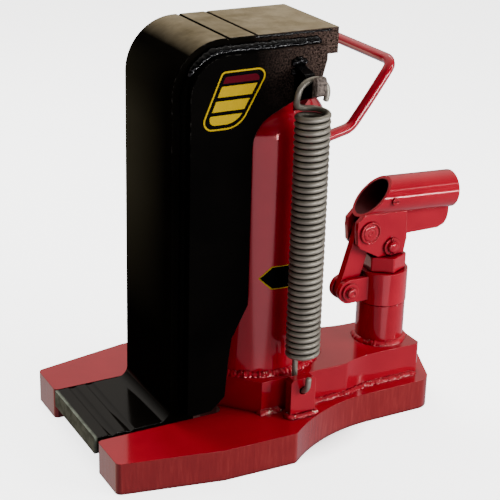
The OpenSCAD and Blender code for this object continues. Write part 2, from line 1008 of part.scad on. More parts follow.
module web_profile() {
  f = plate_front - web_setback;
  t = jack_height - web_setback;
  br = bend_radius - web_setback;
  a = web_arm_slope;
  // where the arm's sloping lower edge meets the line of the rear edge
  mz = web_tail_low - (web_rear + web_tail - 5) * tan(a);
  k = web_fillet * tan(45 - a / 2);
  union() {
    difference() {
      polygon([
        [-web_tail, t],
        [f, t],
        [f, web_foot - 2],
        [f - 4, web_foot - 4],
        [web_rear + 30, web_foot - 3],
        [web_rear + 18.5, web_foot + 7],
        [web_rear + 16, web_foot + 37],
        [web_rear + 13.5, web_knee - 26],
        [web_rear, web_knee],
        [web_rear, mz],
        [-web_tail + 5, web_tail_low],
        [-web_tail, web_tail_low + 18]
      ]);
      difference() {
        translate([bend_x, bend_z])
          square([br + 1, br + 1]);
        translate([bend_x, bend_z])
          circle(r = br);
      }
    }
    difference() {
      polygon([
        [web_rear + 0.5, mz - k],
        [web_rear, mz - k],
        [web_rear - k * cos(a), mz + k * sin(a)],
        [web_rear - k * cos(a), mz + k * sin(a) + 0.5],
        [web_rear + 0.5, mz + 0.5]
      ]);
      translate([web_rear - web_fillet, mz - k])
        circle(r = web_fillet);
    }
  }
}

module web(s) {
  color(black)
    both_sides(s)
      difference() {
        side_plate(plate_half, plate_half + web_thick)
          web_profile();
        tank_envelope(web_gap);
      }
}

module web_bead(s) {
  f = plate_front - web_setback;
  t = jack_height - web_setback;
  br = bend_radius - web_setback;
  w = web_weld;
  color(black)
    both_sides(s) {
      // along the top
      translate([-web_tail + 1, plate_half, t])
        rotate([90, 0, 90])
          linear_extrude(height = bend_x + web_tail - 1)
            polygon([[0, 0], [w, 0], [0, w]]);
      // down the front
      translate([f, plate_half, web_foot + 4])
        linear_extrude(height = bend_z - web_foot - 4)
          polygon([[0, 0], [w, 0], [0, w]]);
      // round the bend
      translate([bend_x, plate_half, bend_z])
        rotate([90, 0, 0])
          mirror([0, 0, 1])
            rotate_extrude(angle = 90)
              translate([br, 0])
                polygon([[0, 0], [w, 0], [0, w]]);
    }
}

module spring_lug(s) {
  y0 = plate_half + web_thick;
  color(black)
    both_sides(s)
      difference() {
        translate([-spring_back - lug_thick / 2, 0, 0])
          rotate([90, 0, 90])
            linear_extrude(height = lug_thick)
              polygon([
                [y0, seat_z - lug_root],
                [spring_half - spring_r - spring_wire / 2 - 0.6, coil_high + spring_wire / 2 + 0.5],
                [lug_reach - 1, seat_z - lug_end],
                [lug_reach, seat_z - lug_end + 1],
                [lug_reach, seat_z + lug_nose - 1.5],
                [lug_reach - 1.5, seat_z + lug_nose],
                [lug_reach - 4.5, seat_z + lug_nose],
                [spring_half + spring_wire * 0.8, seat_z],
                [spring_half - spring_wire * 0.8, seat_z],
                [spring_half - spring_wire * 1.4, seat_z + lug_nose * 0.75],
                [y0, seat_z + lug_nose + 2.5]
              ]);
        difference() {
          translate([-spring_back - 20, spring_half - 3.4, eye_z])
            cube([40, 6.8, 40]);
          along_y(-spring_back, 0, 200, eye_z, spring_r - spring_wire / 2 - 0.1);
        }
      }
}

module guide_pad() {
  color(dark)
    difference() {
      translate([tank_r * 0.7, -pad_half, block_top + pad_gap])
        cube([plate_back - tank_r * 0.7, 2 * pad_half, pad_height]);
      cylinder(h = 400, r = tank_r + 0.3);
      translate([plate_back, -pad_half - 1, block_top + pad_gap - 4])
        rotate([0, -45, 0])
          cube([8, 2 * pad_half + 2, 8]);
    }
}

module ram() {
  r = ram_diameter / 2;
  color(steel)
    difference() {
      union() {
        translate([0, 0, ram_low])
          cylinder(h = piston_length, r = cyl_r - running_fit);
        translate([0, 0, ram_low])
          cylinder(h = plate_low - ram_low, r = r);
      }
      translate([0, 0, ram_low + seal_height])
        difference() {
          cylinder(h = seal_height, r = cyl_r + 5);
          translate([0, 0, -1])
            cylinder(h = seal_height + 2, r = cyl_r - seal_depth);
        }
    }
}

module piston_seal() {
  color(rubber)
    translate([0, 0, ram_low + seal_height])
      difference() {
        cylinder(h = seal_height, r = cyl_r - running_fit);
        translate([0, 0, -1])
          cylinder(h = seal_height + 2, r = cyl_r - seal_depth);
      }
}

module ram_seat() {
  r = ram_diameter / 2;
  color(black)
    translate([0, 0, plate_low - seat_ring_height])
      difference() {
        cylinder(h = seat_ring_height, r = r + seat_ring);
        translate([0, 0, -1])
          cylinder(h = seat_ring_height + 2, r = r);
      }
}

// ---- pump head ----
module swivel_collar() {
  zc = ear_pin_height;
  color(red)
    difference() {
      union() {
        translate([px, py, collar_low])
          cylinder(h = collar_high - collar_low, r = collar_diameter / 2);
        side_plate(py - ear_width / 2, py + ear_width / 2) {
          translate([px, zc - ear_radius])
            square([ear_pin_reach, 2 * ear_radius]);
          translate([ear_x, zc])
            circle(r = ear_radius);
        }
      }
      translate([px, py, 0])
        cylinder(h = 300, r = neck_r + running_fit);
      difference() {
        translate([px, py - link_slot / 2, zc - 40])
          cube([80, link_slot, 80]);
        translate([px, py, 0])
          cylinder(h = 300, r = collar_diameter / 2 + 0.5);
      }
      along_y(ear_x, py - 40, py + 40, zc, pin_r + running_fit);
    }
}

module ear_pin() {
  color(steel)
    along_y(ear_x, py - ear_width / 2 - 4, py + ear_width / 2 + 5, ear_pin_height, pin_r);
}

module ear_clip(s) {
  y0 = ear_width / 2 + side_play;
  color(dark)
    translate([0, py, 0])
      both_sides(s)
        ring_y(ear_x, y0, y0 + 1.5, ear_pin_height, pin_r + 3, pin_r);
}

module link() {
  w = link_width / 2;
  color(red)
    translate([ear_x, 0, ear_pin_height])
      rotate([0, -link_lean, 0])
        difference() {
          union() {
            side_plate(py - link_thick / 2, py + link_thick / 2) {
              circle(r = w);
              translate([-w, 0])
                square([2 * w, link_length]);
              translate([0, link_length])
                circle(r = w);
            }
            along_y(0, py - eye_width / 2, py + eye_width / 2, link_length, w);
          }
          along_y(0, py - 30, py + 30, 0, pin_r + running_fit);
          along_y(0, py - 30, py + 30, link_length, pin_r + link_slack);
        }
}

// ---- plunger ----
module plunger() {
  z = plunger_pin_height;
  h = eye_width / 2;
  color(steel)
    difference() {
      union() {
        translate([px, py, block_top + 9])
          cylinder(h = z - block_top - 9, r = plunger_r);
        along_y(px, py - h, py + h, z, plunger_eye);
      }
      along_y(px, py - 20, py + 20, z, pin_r);
    }
}

module plunger_pin() {
  w = cheek_width / 2;
  color(steel)
    along_y(px, py - w - 4, py + w + 4.5, plunger_pin_height, pin_r);
}

module plunger_clip(s) {
  y0 = cheek_width / 2 + side_play;
  color(dark)
    translate([0, py, 0])
      both_sides(s)
        ring_y(px, y0, y0 + 1.5, plunger_pin_height, pin_r + 2.8, pin_r);
}

// ---- lever socket ----
module socket_way(r, x0, x1) {
  translate([px, py, tube_z])
    rotate([0, -90 - socket_droop, 0])
      translate([0, 0, x0])
        cylinder(h = x1 - x0, r = r);
}

module beyond_mouth() {
  translate([cut_sum - tube_z, py - 50, tube_z])
    rotate([0, -45, 0])
      translate([0, 0, -100])
        cube([100, 100, 200]);
}

module socket_tube() {
  color(red)
    difference() {
      socket_way(socket_outside / 2, -60, socket_tail);
      socket_way(socket_bore / 2, -90, socket_tail + 20);
      beyond_mouth();
      along_y(px + 2.8, py + 5, py + 40, tube_z - 0.5, 2);
    }
}

module cheek(s) {
  zp = plunger_pin_height;
  zb = nut_high + 0.5;
  y0 = cheek_gap / 2;
  y1 = cheek_width / 2;
  color(red)
    difference() {
      side_plate(s > 0 ? py + y0 : py - y1, s > 0 ? py + y1 : py - y0)
        polygon([
          [px + link_pin_reach + 11.3, zp + 34],
          [px + link_pin_reach + 12, zp + 18],
          [px + link_pin_reach + 10.8, zp + 5.5],
          [px + link_pin_reach + 8.6, zp + 2.2],
          [px + 12, zb],
          [px - 12.3, zb],
          [px - 14.6, zp + 5],
          [px - 13, zp + 34]
        ]);
      socket_way(socket_outside / 2, -90, socket_tail + 20);
      beyond_mouth();
      along_y(px, py - 40, py + 40, zp, pin_r + running_fit);
      along_y(up_x, py - 40, py + 40, up_z, pin_r);
    }
}

module socket_rib() {
  zp = plunger_pin_height;
  color(red)
    difference() {
      side_plate(py - cheek_gap / 2 + rib_setback, py + cheek_gap / 2 - rib_setback)
        polygon([
          [px - 12, zp + rib_low],
          [px - socket_tail + 10, zp + rib_low],
          [px - socket_tail + 4, zp + rib_low + 2.5],
          [px - socket_tail + 1, zp + rib_low + 7],
          [px - socket_tail, zp + rib_low + 12],
          [px - socket_tail, tube_z - 5],
          [px - 12, tube_z - 5]
        ]);
      socket_way(socket_outside / 2, -90, socket_tail + 20);
    }
}

module link_pin() {
  w = cheek_width / 2;
  color(red)
    difference() {
      union() {
        along_y(up_x, py - w - 4, py + w + 1, up_z, pin_r);
        along_y(up_x, py + w, py + w + 2, up_z, 9.3);
      }
      ring_y(up_x, py + w + 1.2, py + w + 3, up_z, 7.6, 6.2);
    }
}

module link_clip() {
  w = cheek_width / 2;
  color(dark)
    ring_y(up_x, py - w - 2, py - w, up_z, pin_r + 2.8, pin_r);
}

module lock_screw() {
  color(dark)
    difference() {
      union() {
        along_y(px + 2.8, py + socket_bore / 2 + 0.4, py + socket_outside / 2 + 1,
          tube_z - 0.5, 2);
        along_y(px + 2.8, py + socket_outside / 2, py + socket_outside / 2 + 1.6,
          tube_z - 0.5, 3.2);
      }
      translate([px + 2.8 - 4, py + socket_outside / 2 + 0.8, tube_z - 0.9])
        cube([8, 3, 0.8]);
    }
}

// ---- release screw ----
module release_screw() {
  y0 = py - pump_bar_half;
  r = release_diameter / 2;
  color(steel)
    difference() {
      union() {
        along_y(-release_back, y0 - 1, y0 + 19.5, gallery_height, r);
        along_y(-release_back, y0 - 1 - release_head_length, y0 - 1, gallery_height,
          release_head / 2);
      }
      translate([-release_back - 2.5, y0 - 20, gallery_height - 20])
        cube([5, 15, 40]);
    }
}

base_plate();
block();
block_bead();
tank();
tank_bead();
cylinder_tube();  // cylinder
gland();
gland_wiper();
filler_plug();
spring_tab(1);  // spring_tab_l
spring_tab(-1);  // spring_tab_r
tab_bead(1);  // tab_bead_l
tab_bead(-1);  // tab_bead_r
carry_handle();
pump_barrel();
pump_bead();
gland_nut();
pump_seal();
suction_ball();
delivery_ball();
delivery_spring();
gallery_plug();
relief_plug();
release_ball();
return_spring(1);  // return_spring_l
return_spring(-1);  // return_spring_r
claw_plate();
web(1);  // web_l
web(-1);  // web_r
web_bead(1);  // web_bead_l
web_bead(-1);  // web_bead_r
spring_lug(1);  // spring_lug_l
spring_lug(-1);  // spring_lug_r
guide_pad();
ram();
piston_seal();
ram_seat();
swivel_collar();
ear_pin();
ear_clip(1);  // ear_clip_near
ear_clip(-1);  // ear_clip_far
link();
plunger();
plunger_pin();
plunger_clip(1);  // plunger_clip_near
plunger_clip(-1);  // plunger_clip_far
socket_tube();
cheek(1);  // cheek_near
cheek(-1);  // cheek_far
socket_rib();
link_pin();
link_clip();
lock_screw();
release_screw();
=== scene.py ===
import json
import math
import random

import bpy
import bmesh
from mathutils import Matrix, Vector, noise


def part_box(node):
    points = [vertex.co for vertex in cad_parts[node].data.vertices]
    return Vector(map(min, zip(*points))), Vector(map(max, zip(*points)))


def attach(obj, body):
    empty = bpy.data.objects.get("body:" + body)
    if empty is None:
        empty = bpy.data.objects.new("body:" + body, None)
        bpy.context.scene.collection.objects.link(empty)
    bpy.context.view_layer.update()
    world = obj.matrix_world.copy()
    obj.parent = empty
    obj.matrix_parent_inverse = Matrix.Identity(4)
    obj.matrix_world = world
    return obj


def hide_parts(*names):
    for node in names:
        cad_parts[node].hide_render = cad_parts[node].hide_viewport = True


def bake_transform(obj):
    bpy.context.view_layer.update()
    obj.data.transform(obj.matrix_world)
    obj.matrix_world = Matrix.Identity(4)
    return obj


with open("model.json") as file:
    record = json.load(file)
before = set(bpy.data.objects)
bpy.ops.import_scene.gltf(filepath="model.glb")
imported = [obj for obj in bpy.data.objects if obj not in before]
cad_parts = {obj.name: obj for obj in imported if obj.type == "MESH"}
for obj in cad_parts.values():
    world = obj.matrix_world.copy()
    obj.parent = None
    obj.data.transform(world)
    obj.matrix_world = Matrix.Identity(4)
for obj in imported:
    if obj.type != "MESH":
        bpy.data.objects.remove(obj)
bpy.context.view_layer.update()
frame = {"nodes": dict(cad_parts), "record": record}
nodes = frame["nodes"]
MM = 0.001  # pieces are worked out in millimetres, shaders, lights and the camera in metres
noise.seed_set(1)  # noise_vector would start from the clock, and each run would lay other beads


def box(node):
    """The low and high corner of a CAD node, in millimetres."""
    lo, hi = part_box(node)
    return Vector(lo) / MM, Vector(hi) / MM


def middle(node):
    lo, hi = box(node)
    return (lo + hi) / 2


# ---------------------------------------------------------------- sizes from the frame
BASE_TOP = box("base_plate")[1].z
BLOCK_LO, BLOCK_HI = box("block")
TANK = middle("tank").xy
TANK_R = (box("tank")[1].y - box("tank")[0].y) / 2
PUMP = middle("pump_barrel").xy
PUMP_R = (box("pump_barrel")[1].y - box("pump_barrel")[0].y) / 2
PLATE_HI = box("claw_plate")[1]
WEB_LO, WEB_HI = box("web_l")
TAB_LO, TAB_HI = box("spring_tab_l")
LUG_LO, LUG_HI = box("spring_lug_l")
SLOT_HALF = 44.6  # half the base plate's slot, and a hair into its walls
SOCKET_BORE = 13.0  # radius of the lever socket's bore, and a hair into its wall
SOCKET_TILT = math.radians(3)
SOCKET_Z = middle("plunger_pin").z + 41.3  # the socket's axis over the pump
SOCKET = (PUMP.x * MM, PUMP.y * MM, SOCKET_Z * MM)
HEAD_TOP = PLATE_HI.z * MM
TOE_TIP = PLATE_HI.x * MM


# ---------------------------------------------------------------- shader nodes
def new_material(name, color, rough, metal=0.0, coat=0.0, coat_rough=0.05, spec=0.5):
    m = bpy.data.materials.new(name)
    m.use_nodes = True
    b = m.node_tree.nodes["Principled BSDF"]
    b.inputs["Base Color"].default_value = (*color, 1)
    b.inputs["Roughness"].default_value = rough
    b.inputs["Metallic"].default_value = metal
    b.inputs["Specular IOR Level"].default_value = spec
    b.inputs["Coat Weight"].default_value = coat
    b.inputs["Coat Roughness"].default_value = coat_rough
    return m, m.node_tree, b


def coords(nt):
    return nt.nodes.new("ShaderNodeTexCoord").outputs["Object"]


def xyz(nt, vec):
    sep = nt.nodes.new("ShaderNodeSeparateXYZ")
    nt.links.new(vec, sep.inputs[0])
    return sep.outputs


def stretch(nt, vec, scale):
    mp = nt.nodes.new("ShaderNodeMapping")
    mp.inputs["Scale"].default_value = scale
    nt.links.new(vec, mp.inputs["Vector"])
    return mp.outputs["Vector"]


def noise_tex(nt, vec, scale, detail=4.0, rough=0.55, distort=0.0):
    n = nt.nodes.new("ShaderNodeTexNoise")
    n.inputs["Scale"].default_value = scale
    n.inputs["Detail"].default_value = detail
    n.inputs["Roughness"].default_value = rough
    n.inputs["Distortion"].default_value = distort
    nt.links.new(vec, n.inputs["Vector"])
    return n.outputs["Fac"]


def ramp(nt, fac, stops):
    r = nt.nodes.new("ShaderNodeValToRGB")
    el = r.color_ramp.elements
    while len(el) < len(stops):
        el.new(0.5)
    for e, (pos, col) in zip(el, stops):
        e.position = pos
        e.color = (*col, 1)
    nt.links.new(fac, r.inputs["Fac"])
    return r.outputs["Color"]


def between(nt, value, lo, hi, start=0.0, end=1.0):
    """start up to lo, end from hi on, and an even change on the way."""
    r = nt.nodes.new("ShaderNodeMapRange")
    for key, val in (("From Min", lo), ("From Max", hi), ("To Min", start), ("To Max", end)):
        r.inputs[key].default_value = val
    nt.links.new(value, r.inputs["Value"])
    return r.outputs["Result"]


def math_node(nt, op, *values):
    m = nt.nodes.new("ShaderNodeMath")
    m.operation = op
    for socket, v in zip(m.inputs, values):
        if isinstance(v, (int, float)):
            socket.default_value = v
        else:
            nt.links.new(v, socket)
    return m.outputs[0]


def plus(nt, a, b):
    return math_node(nt, "ADD", a, b)


def times(nt, first, *others):
    for other in others:
        first = math_node(nt, "MULTIPLY", first, other)
    return first


def inverse(nt, mask):
    return math_node(nt, "SUBTRACT", 1.0, mask)


def vector_math(nt, op, *values):
    m = nt.nodes.new("ShaderNodeVectorMath")
    m.operation = op
    for socket, v in zip(m.inputs, values):
        if isinstance(v, tuple):
            socket.default_value = v
        else:
            nt.links.new(v, socket)
    return m.outputs["Value" if op in ("DOT_PRODUCT", "LENGTH") else "Vector"]


def mix_color(nt, fac, a, b):
    """a where fac is 0, b where it is 1."""
    m = nt.nodes.new("ShaderNodeMix")
    m.data_type = "RGBA"
    nt.links.new(fac, m.inputs[0])
    for k, v in ((6, a), (7, b)):
        if isinstance(v, tuple):
            m.inputs[k].default_value = (*v, 1)
        else:
            nt.links.new(v, m.inputs[k])
    return m.outputs[2]


def bump(nt, height, strength, distance, normal=None):
    b = nt.nodes.new("ShaderNodeBump")
    b.inputs["Strength"].default_value = strength
    b.inputs["Distance"].default_value = distance
    nt.links.new(height, b.inputs["Height"])
    if normal is not None:
        nt.links.new(normal, b.inputs["Normal"])
    return b.outputs["Normal"]


def soft_edge(nt, radius):
    b = nt.nodes.new("ShaderNodeBevel")
    b.samples = 4
    b.inputs["Radius"].default_value = radius
    return b.outputs["Normal"]


def edge_mask(nt, rounded):
    """1 on a sharp edge, 0 on the flat: how far the rounded normal leaves the true one."""
    normal = nt.nodes.new("ShaderNodeNewGeometry").outputs["Normal"]
    return between(nt, vector_math(nt, "DOT_PRODUCT", normal, rounded), 0.82, 0.99, 1.0, 0.0)


def openness(nt, reach):
    """1 in the open, 0 deep in a corner, where grease and shade gather."""
    ao = nt.nodes.new("ShaderNodeAmbientOcclusion")
    ao.samples = 6
    ao.inputs["Distance"].default_value = reach
    return between(nt, ao.outputs["AO"], 0.30, 0.80)


def facing_up(nt, lo=0.74, hi=0.98):
    normal = nt.nodes.new("ShaderNodeNewGeometry").outputs["Normal"]
    return between(nt, xyz(nt, normal)["Z"], lo, hi)


# ---------------------------------------------------------------- red enamel
def upright(nt):
    return inverse(nt, facing_up(nt, 0.4, 0.7))


def in_slot(nt, vec):
    """1 on the walls of the base plate's slot, which get painted shade."""
    aside = math_node(nt, "ABSOLUTE", xyz(nt, vec)["Y"])
    return times(nt, between(nt, aside, SLOT_HALF * MM, (SLOT_HALF + 0.3) * MM, 1.0, 0.0), upright(nt))


def in_bore(nt, vec):
    """1 inside the lever socket's bore, by the distance from its axis, which gets painted shade."""
    axis = (math.cos(SOCKET_TILT), 0.0, math.sin(SOCKET_TILT))
    out = vector_math(nt, "CROSS_PRODUCT", vector_math(nt, "SUBTRACT", vec, SOCKET), axis)
    away = vector_math(nt, "LENGTH", out)
    return between(nt, away, SOCKET_BORE * MM, (SOCKET_BORE + 0.6) * MM, 1.0, 0.0)


def flame_cut(nt, vec, color, rough_map, n):
    """Duller sides, on which the torch's upright strokes show through the paint."""
    side = upright(nt)
    strokes = noise_tex(nt, stretch(nt, vec, (1.0, 1.0, 0.12)), 380, 3, 0.6)
    drag = ramp(nt, strokes, [(0.36, (0.112, 0.0052, 0.0050)), (0.56, (0.132, 0.0076, 0.0070)),
                              (0.74, (0.165, 0.0150, 0.0125))])
    color = mix_color(nt, times(nt, side, 0.85), color, drag)
    rough_map = plus(nt, rough_map, times(nt, side, 0.10))
    return color, rough_map, bump(nt, times(nt, strokes, side), 0.45, 0.0004, n)


def enamel(name, shades, edge=0.0009, lumps=0.0, coat=0.22, reach=0.006,
           specks=False, cut=False, hollow=None, hollow_shade=None):
    """Sprayed gloss enamel: orange peel, thick and thin patches, and a pale line on edges, partly thinned
    paint and partly a painted highlight.

    shades are its light, middle and dark red. hollow is a mask of recesses painted dark as shade,
    and hollow_shade the colour of that painted shade.
    """
    light, base, dark = shades
    thin, bare, grime_and_shade = (0.38, 0.080, 0.065), (0.85, 0.62, 0.50), (0.02, 0.0006, 0.002)
    m, nt, b = new_material(name, base, 0.11, coat=coat, coat_rough=0.04, spec=0.62)
    b.inputs["Specular Tint"].default_value = (1.0, 0.28, 0.28, 1)
    vec = coords(nt)
    n = soft_edge(nt, edge)
    color = ramp(nt, noise_tex(nt, vec, 14, 3, 0.6), [(0.3, dark), (0.52, base), (0.75, light)])
    open_air = openness(nt, reach)
    uneven = between(nt, noise_tex(nt, vec, 90, 4, 0.7), 0.35, 0.7, 0.0, 0.5)
    # pale edge line: paint thinned on edges, and a painted highlight there
    color = mix_color(nt, times(nt, edge_mask(nt, n), uneven, open_air), color, thin)
    # painted glints: pale specks that stand in for highlights on the rough weld
    if specks:
        spot = between(nt, noise_tex(nt, vec, 520, 2, 0.5), 0.60, 0.66, 0.0, 0.9)
        where = between(nt, noise_tex(nt, vec, 70, 2, 0.5), 0.5, 0.6)
        color = mix_color(nt, times(nt, spot, where), color, bare)
    rough_map = between(nt, noise_tex(nt, vec, 420, 3, 0.6), 0.3, 0.7, 0.09, 0.15)
    if cut:
        color, rough_map, n = flame_cut(nt, vec, color, rough_map, n)
    if hollow:
        # painted shade: the hollow goes dark and matt and loses its coat
        deep = hollow(nt, vec)
        if hollow_shade:
            color = mix_color(nt, deep, color, hollow_shade)
        rough_map = plus(nt, rough_map, times(nt, deep, 0.5))
        open_air = times(nt, open_air, inverse(nt, deep))
    # painted shade, with some grease: the colour goes near-black deep in corners and in the hollow
    color = mix_color(nt, open_air, grime_and_shade, color)
    n = bump(nt, noise_tex(nt, vec, 330, 2, 0.5), 0.05, 0.0002, n)
    if lumps:
        n = bump(nt, noise_tex(nt, vec, 160, 4, 0.65), lumps, 0.0010, n)
    nt.links.new(color, b.inputs["Base Color"])
    nt.links.new(times(nt, open_air, coat), b.inputs["Coat Weight"])
    nt.links.new(rough_map, b.inputs["Roughness"])
    nt.links.new(n, b.inputs["Normal"])
    return m


PLATE_REDS = (0.25, 0.0026, 0.0115), (0.215, 0.0016, 0.0095), (0.18, 0.0011, 0.008)
CAST_REDS = (0.31, 0.0028, 0.0145), (0.26, 0.0018, 0.012), (0.20, 0.001, 0.0095)
RED = enamel("red_enamel", PLATE_REDS)
RED_BASE = enamel("red_cut_plate", PLATE_REDS, cut=True, hollow=in_slot)
RED_CAST = enamel("red_cast", CAST_REDS, edge=0.0012, lumps=0.07, reach=0.010)
# its longer reach spreads the painted shade over the nut's faces beside the link
RED_NUT = enamel("red_nut", CAST_REDS, edge=0.0006, coat=0.10, reach=0.020)
RED_ROD = enamel("red_rod", CAST_REDS, edge=0.0006, coat=1.0)
RED_WELD = enamel("red_weld", PLATE_REDS, edge=0.0003, lumps=0.6, specks=True)
RED_TUBE = enamel("red_tube", CAST_REDS, edge=0.0006, lumps=0.03, hollow=in_bore,
                  hollow_shade=(0.012, 0.0012, 0.004))


# ---------------------------------------------------------------- black paint
def rear_speckled_sheen(nt, vec, color):
    """Speckled brown on the upper rear of the claw, a painted sheen."""
    x, _, z = xyz(nt, vec)
    high = between(nt, z, HEAD_TOP - 0.063, HEAD_TOP - 0.025)
    rear = times(nt, between(nt, x, -0.045, 0.03, 1.0, 0.0), high)
    grit = between(nt, noise_tex(nt, vec, 700, 4, 0.75), 0.42, 0.62)
    return mix_color(nt, times(nt, rear, grit), color, (0.105, 0.068, 0.055))


def lit_bare_ends(nt, vec, start, color):
    """Brown on what lies further from the middle plane than start: paint rubbed through to metal, and
    painted light on that lit end.
    """
    aside = math_node(nt, "ABSOLUTE", xyz(nt, vec)["Y"])
    rubbed = between(nt, noise_tex(nt, vec, 480, 4, 0.7), 0.40, 0.62, 0.25, 1.0)
    outer = between(nt, aside, start - 0.001, start)
    return mix_color(nt, times(nt, outer, rubbed), color, (0.150, 0.120, 0.102))


def claw_dust_and_sheen(nt, vec, mid, color):
    """A painted sheen on the upright, a brown dusting with a painted sheen on the head's top, and a lighter
    toe tip of wear and painted reflection. Gives the colour and the top's mask.
    """
    x, y, z = xyz(nt, vec)
    # painted sheen: olive, lighter towards the far edge of the upright
    film = times(nt, between(nt, y, -0.052, 0.032, 1.0, 0.0), between(nt, z, 0.09, 0.20),
                 between(nt, z, HEAD_TOP - 0.070, HEAD_TOP - 0.015, 1.0, 0.0))
    color = mix_color(nt, film, color, (0.036, 0.035, 0.022))
    # brown dusting with a painted sheen on the head's upward faces
    top = times(nt, facing_up(nt), between(nt, z, HEAD_TOP - 0.055, HEAD_TOP - 0.003),
                between(nt, x, -0.02, 0.055, 1.0, 0.76), between(nt, mid, 0.3, 0.7, 0.72, 1.0))
    top_dust_sheen = ramp(nt, noise_tex(nt, vec, 30, 5, 0.65),
                [(0.3, (0.13, 0.102, 0.058)), (0.7, (0.23, 0.188, 0.124))])
    color = mix_color(nt, top, color, top_dust_sheen)
    # lighter toe tip: wear, and a painted reflection on its front
    end = times(nt, between(nt, z, 0.035, 0.06, 1.0, 0.0), between(nt, x, TOE_TIP - 0.003, TOE_TIP - 0.001))
    worn_and_lit_tip = times(nt, end, between(nt, mid, 0.36, 0.6, 0.5, 1.0))
    return mix_color(nt, worn_and_lit_tip, color, (0.130, 0.146, 0.112)), top


def black_paint(name, base, rough, edge=0.0012, spec=0.0, gloss=0.0,
                speckled_sheen=False, head_dust_and_sheen=False, lit_bare_from=None):
    """Satin black over plate, chipped on the head's edges and at the tip of the toe."""
    m, nt, b = new_material(name, base, rough, spec=spec, coat=gloss, coat_rough=0.06)
    vec = coords(nt)
    x, _, z = xyz(nt, vec)
    mid = noise_tex(nt, vec, 90, 5, 0.6)
    n = soft_edge(nt, edge)
    sharp = edge_mask(nt, n)
    warm = tuple(c * k + 0.0006 for c, k in zip(base, (1.8, 1.6, 1.2)))
    color = ramp(nt, noise_tex(nt, vec, 11, 4, 0.6, 0.3), [(0.3, base), (0.72, warm)])
    rough_map = between(nt, mid, 0.3, 0.7, rough - 0.05, rough + 0.10)
    # painted sheen, broken into specks, on the upper rear
    if speckled_sheen:
        color = rear_speckled_sheen(nt, vec, color)
    if lit_bare_from:
        color = lit_bare_ends(nt, vec, lit_bare_from, color)
    if head_dust_and_sheen:
        color, top = claw_dust_and_sheen(nt, vec, mid, color)
        rough_map = plus(nt, rough_map, times(nt, top, 0.2))
        toe = times(nt, between(nt, z, 0.035, 0.075, 1.0, 0.0), facing_up(nt, 0.1, 0.5))
        nt.links.new(times(nt, toe, 0.45), b.inputs["Coat Weight"])
        b.inputs["Coat Roughness"].default_value = 0.14
        waves = noise_tex(nt, stretch(nt, vec, (1.0, 0.45, 1.0)), 42, 3, 0.55, 0.6)
        n = bump(nt, times(nt, waves, toe), 0.9, 0.006, n)
    handled = math_node(nt, "MAXIMUM", between(nt, z, HEAD_TOP - 0.105, HEAD_TOP - 0.065),
                        between(nt, x, TOE_TIP - 0.005, TOE_TIP - 0.002))
    chips = times(nt, sharp, between(nt, noise_tex(nt, vec, 170, 5, 0.75), 0.5, 0.72, 0.0, 0.75), handled)
    color = mix_color(nt, chips, color, (0.20, 0.19, 0.17))
    n = bump(nt, noise_tex(nt, vec, 900, 3, 0.6), 0.3, 0.00018, n)
    nt.links.new(color, b.inputs["Base Color"])
    nt.links.new(rough_map, b.inputs["Roughness"])
    nt.links.new(bump(nt, mid, 0.12, 0.0006, n), b.inputs["Normal"])
    return m


BLUE_BLACK = (0.0010, 0.0010, 0.0014)
BLACK = black_paint("black_paint", (0.0013, 0.0011, 0.0009), 0.4, speckled_sheen=True, head_dust_and_sheen=True)
BLACK_PLAIN = black_paint("black_side", (0.0009, 0.0008, 0.0008), 0.4, spec=0.002, speckled_sheen=True)
# the lug's outer end is painted lighter brown: rubbed paint, and painted light on that lit end
BLACK_LUG = black_paint("black_lug", BLUE_BLACK, 0.3, gloss=0.35, lit_bare_from=(LUG_HI.y - 6.0) * MM)
BLACK_WELD = black_paint("black_weld", BLUE_BLACK, 0.3, edge=0.0004, gloss=0.5)


# ---------------------------------------------------------------- steel, rubber and printed film
def steel(name, base, rough, dirt, metal=1.0, scale=(1, 1, 1), grain=0.25, gaps=None):
    """Bare steel with dull patches; gaps is how near a neighbouring coil has to be to shade the wire."""
    m, nt, b = new_material(name, base, rough, metal)
    vec = coords(nt)
    fine = noise_tex(nt, stretch(nt, vec, scale), 700, 4, 0.6)
    bright = tuple(min(1, c * 1.15) for c in base)
    color = ramp(nt, noise_tex(nt, vec, 40, 5, 0.65, 0.2), [(0.34, dirt), (0.56, base), (0.8, bright)])
    if gaps:
        color = mix_color(nt, openness(nt, gaps), (0.012, 0.010, 0.008), color)
    nt.links.new(color, b.inputs["Base Color"])
    nt.links.new(between(nt, fine, 0.3, 0.7, rough - 0.08, rough + 0.14), b.inputs["Roughness"])
    nt.links.new(bump(nt, fine, grain, 0.00012, soft_edge(nt, 0.0004)), b.inputs["Normal"])
    return m


SPRING = steel("spring_wire", (0.268, 0.246, 0.202), 0.50, (0.19, 0.172, 0.14), 0.8, gaps=0.0024)
BRIGHT = steel("bright_steel", (0.55, 0.55, 0.55), 0.2, (0.42, 0.42, 0.42), 1.0, (1, 1, 0.05), 0.1)
PIN = steel("pin_steel", (0.34, 0.32, 0.30), 0.34, (0.18, 0.14, 0.12), 0.95)
DARK = steel("dark_steel", (0.08, 0.08, 0.08), 0.42, (0.04, 0.04, 0.04), 0.8)


def rubber():
    m, nt, b = new_material("seal_rubber", (0.02, 0.02, 0.02), 0.6)
    n = noise_tex(nt, coords(nt), 500, 3, 0.6)
    color = ramp(nt, n, [(0.3, (0.012, 0.012, 0.012)), (0.7, (0.028, 0.028, 0.028))])
    nt.links.new(color, b.inputs["Base Color"])
    nt.links.new(between(nt, n, 0.0, 1.0, 0.5, 0.75), b.inputs["Roughness"])
    nt.links.new(bump(nt, n, 0.2, 0.0002), b.inputs["Normal"])
    return m


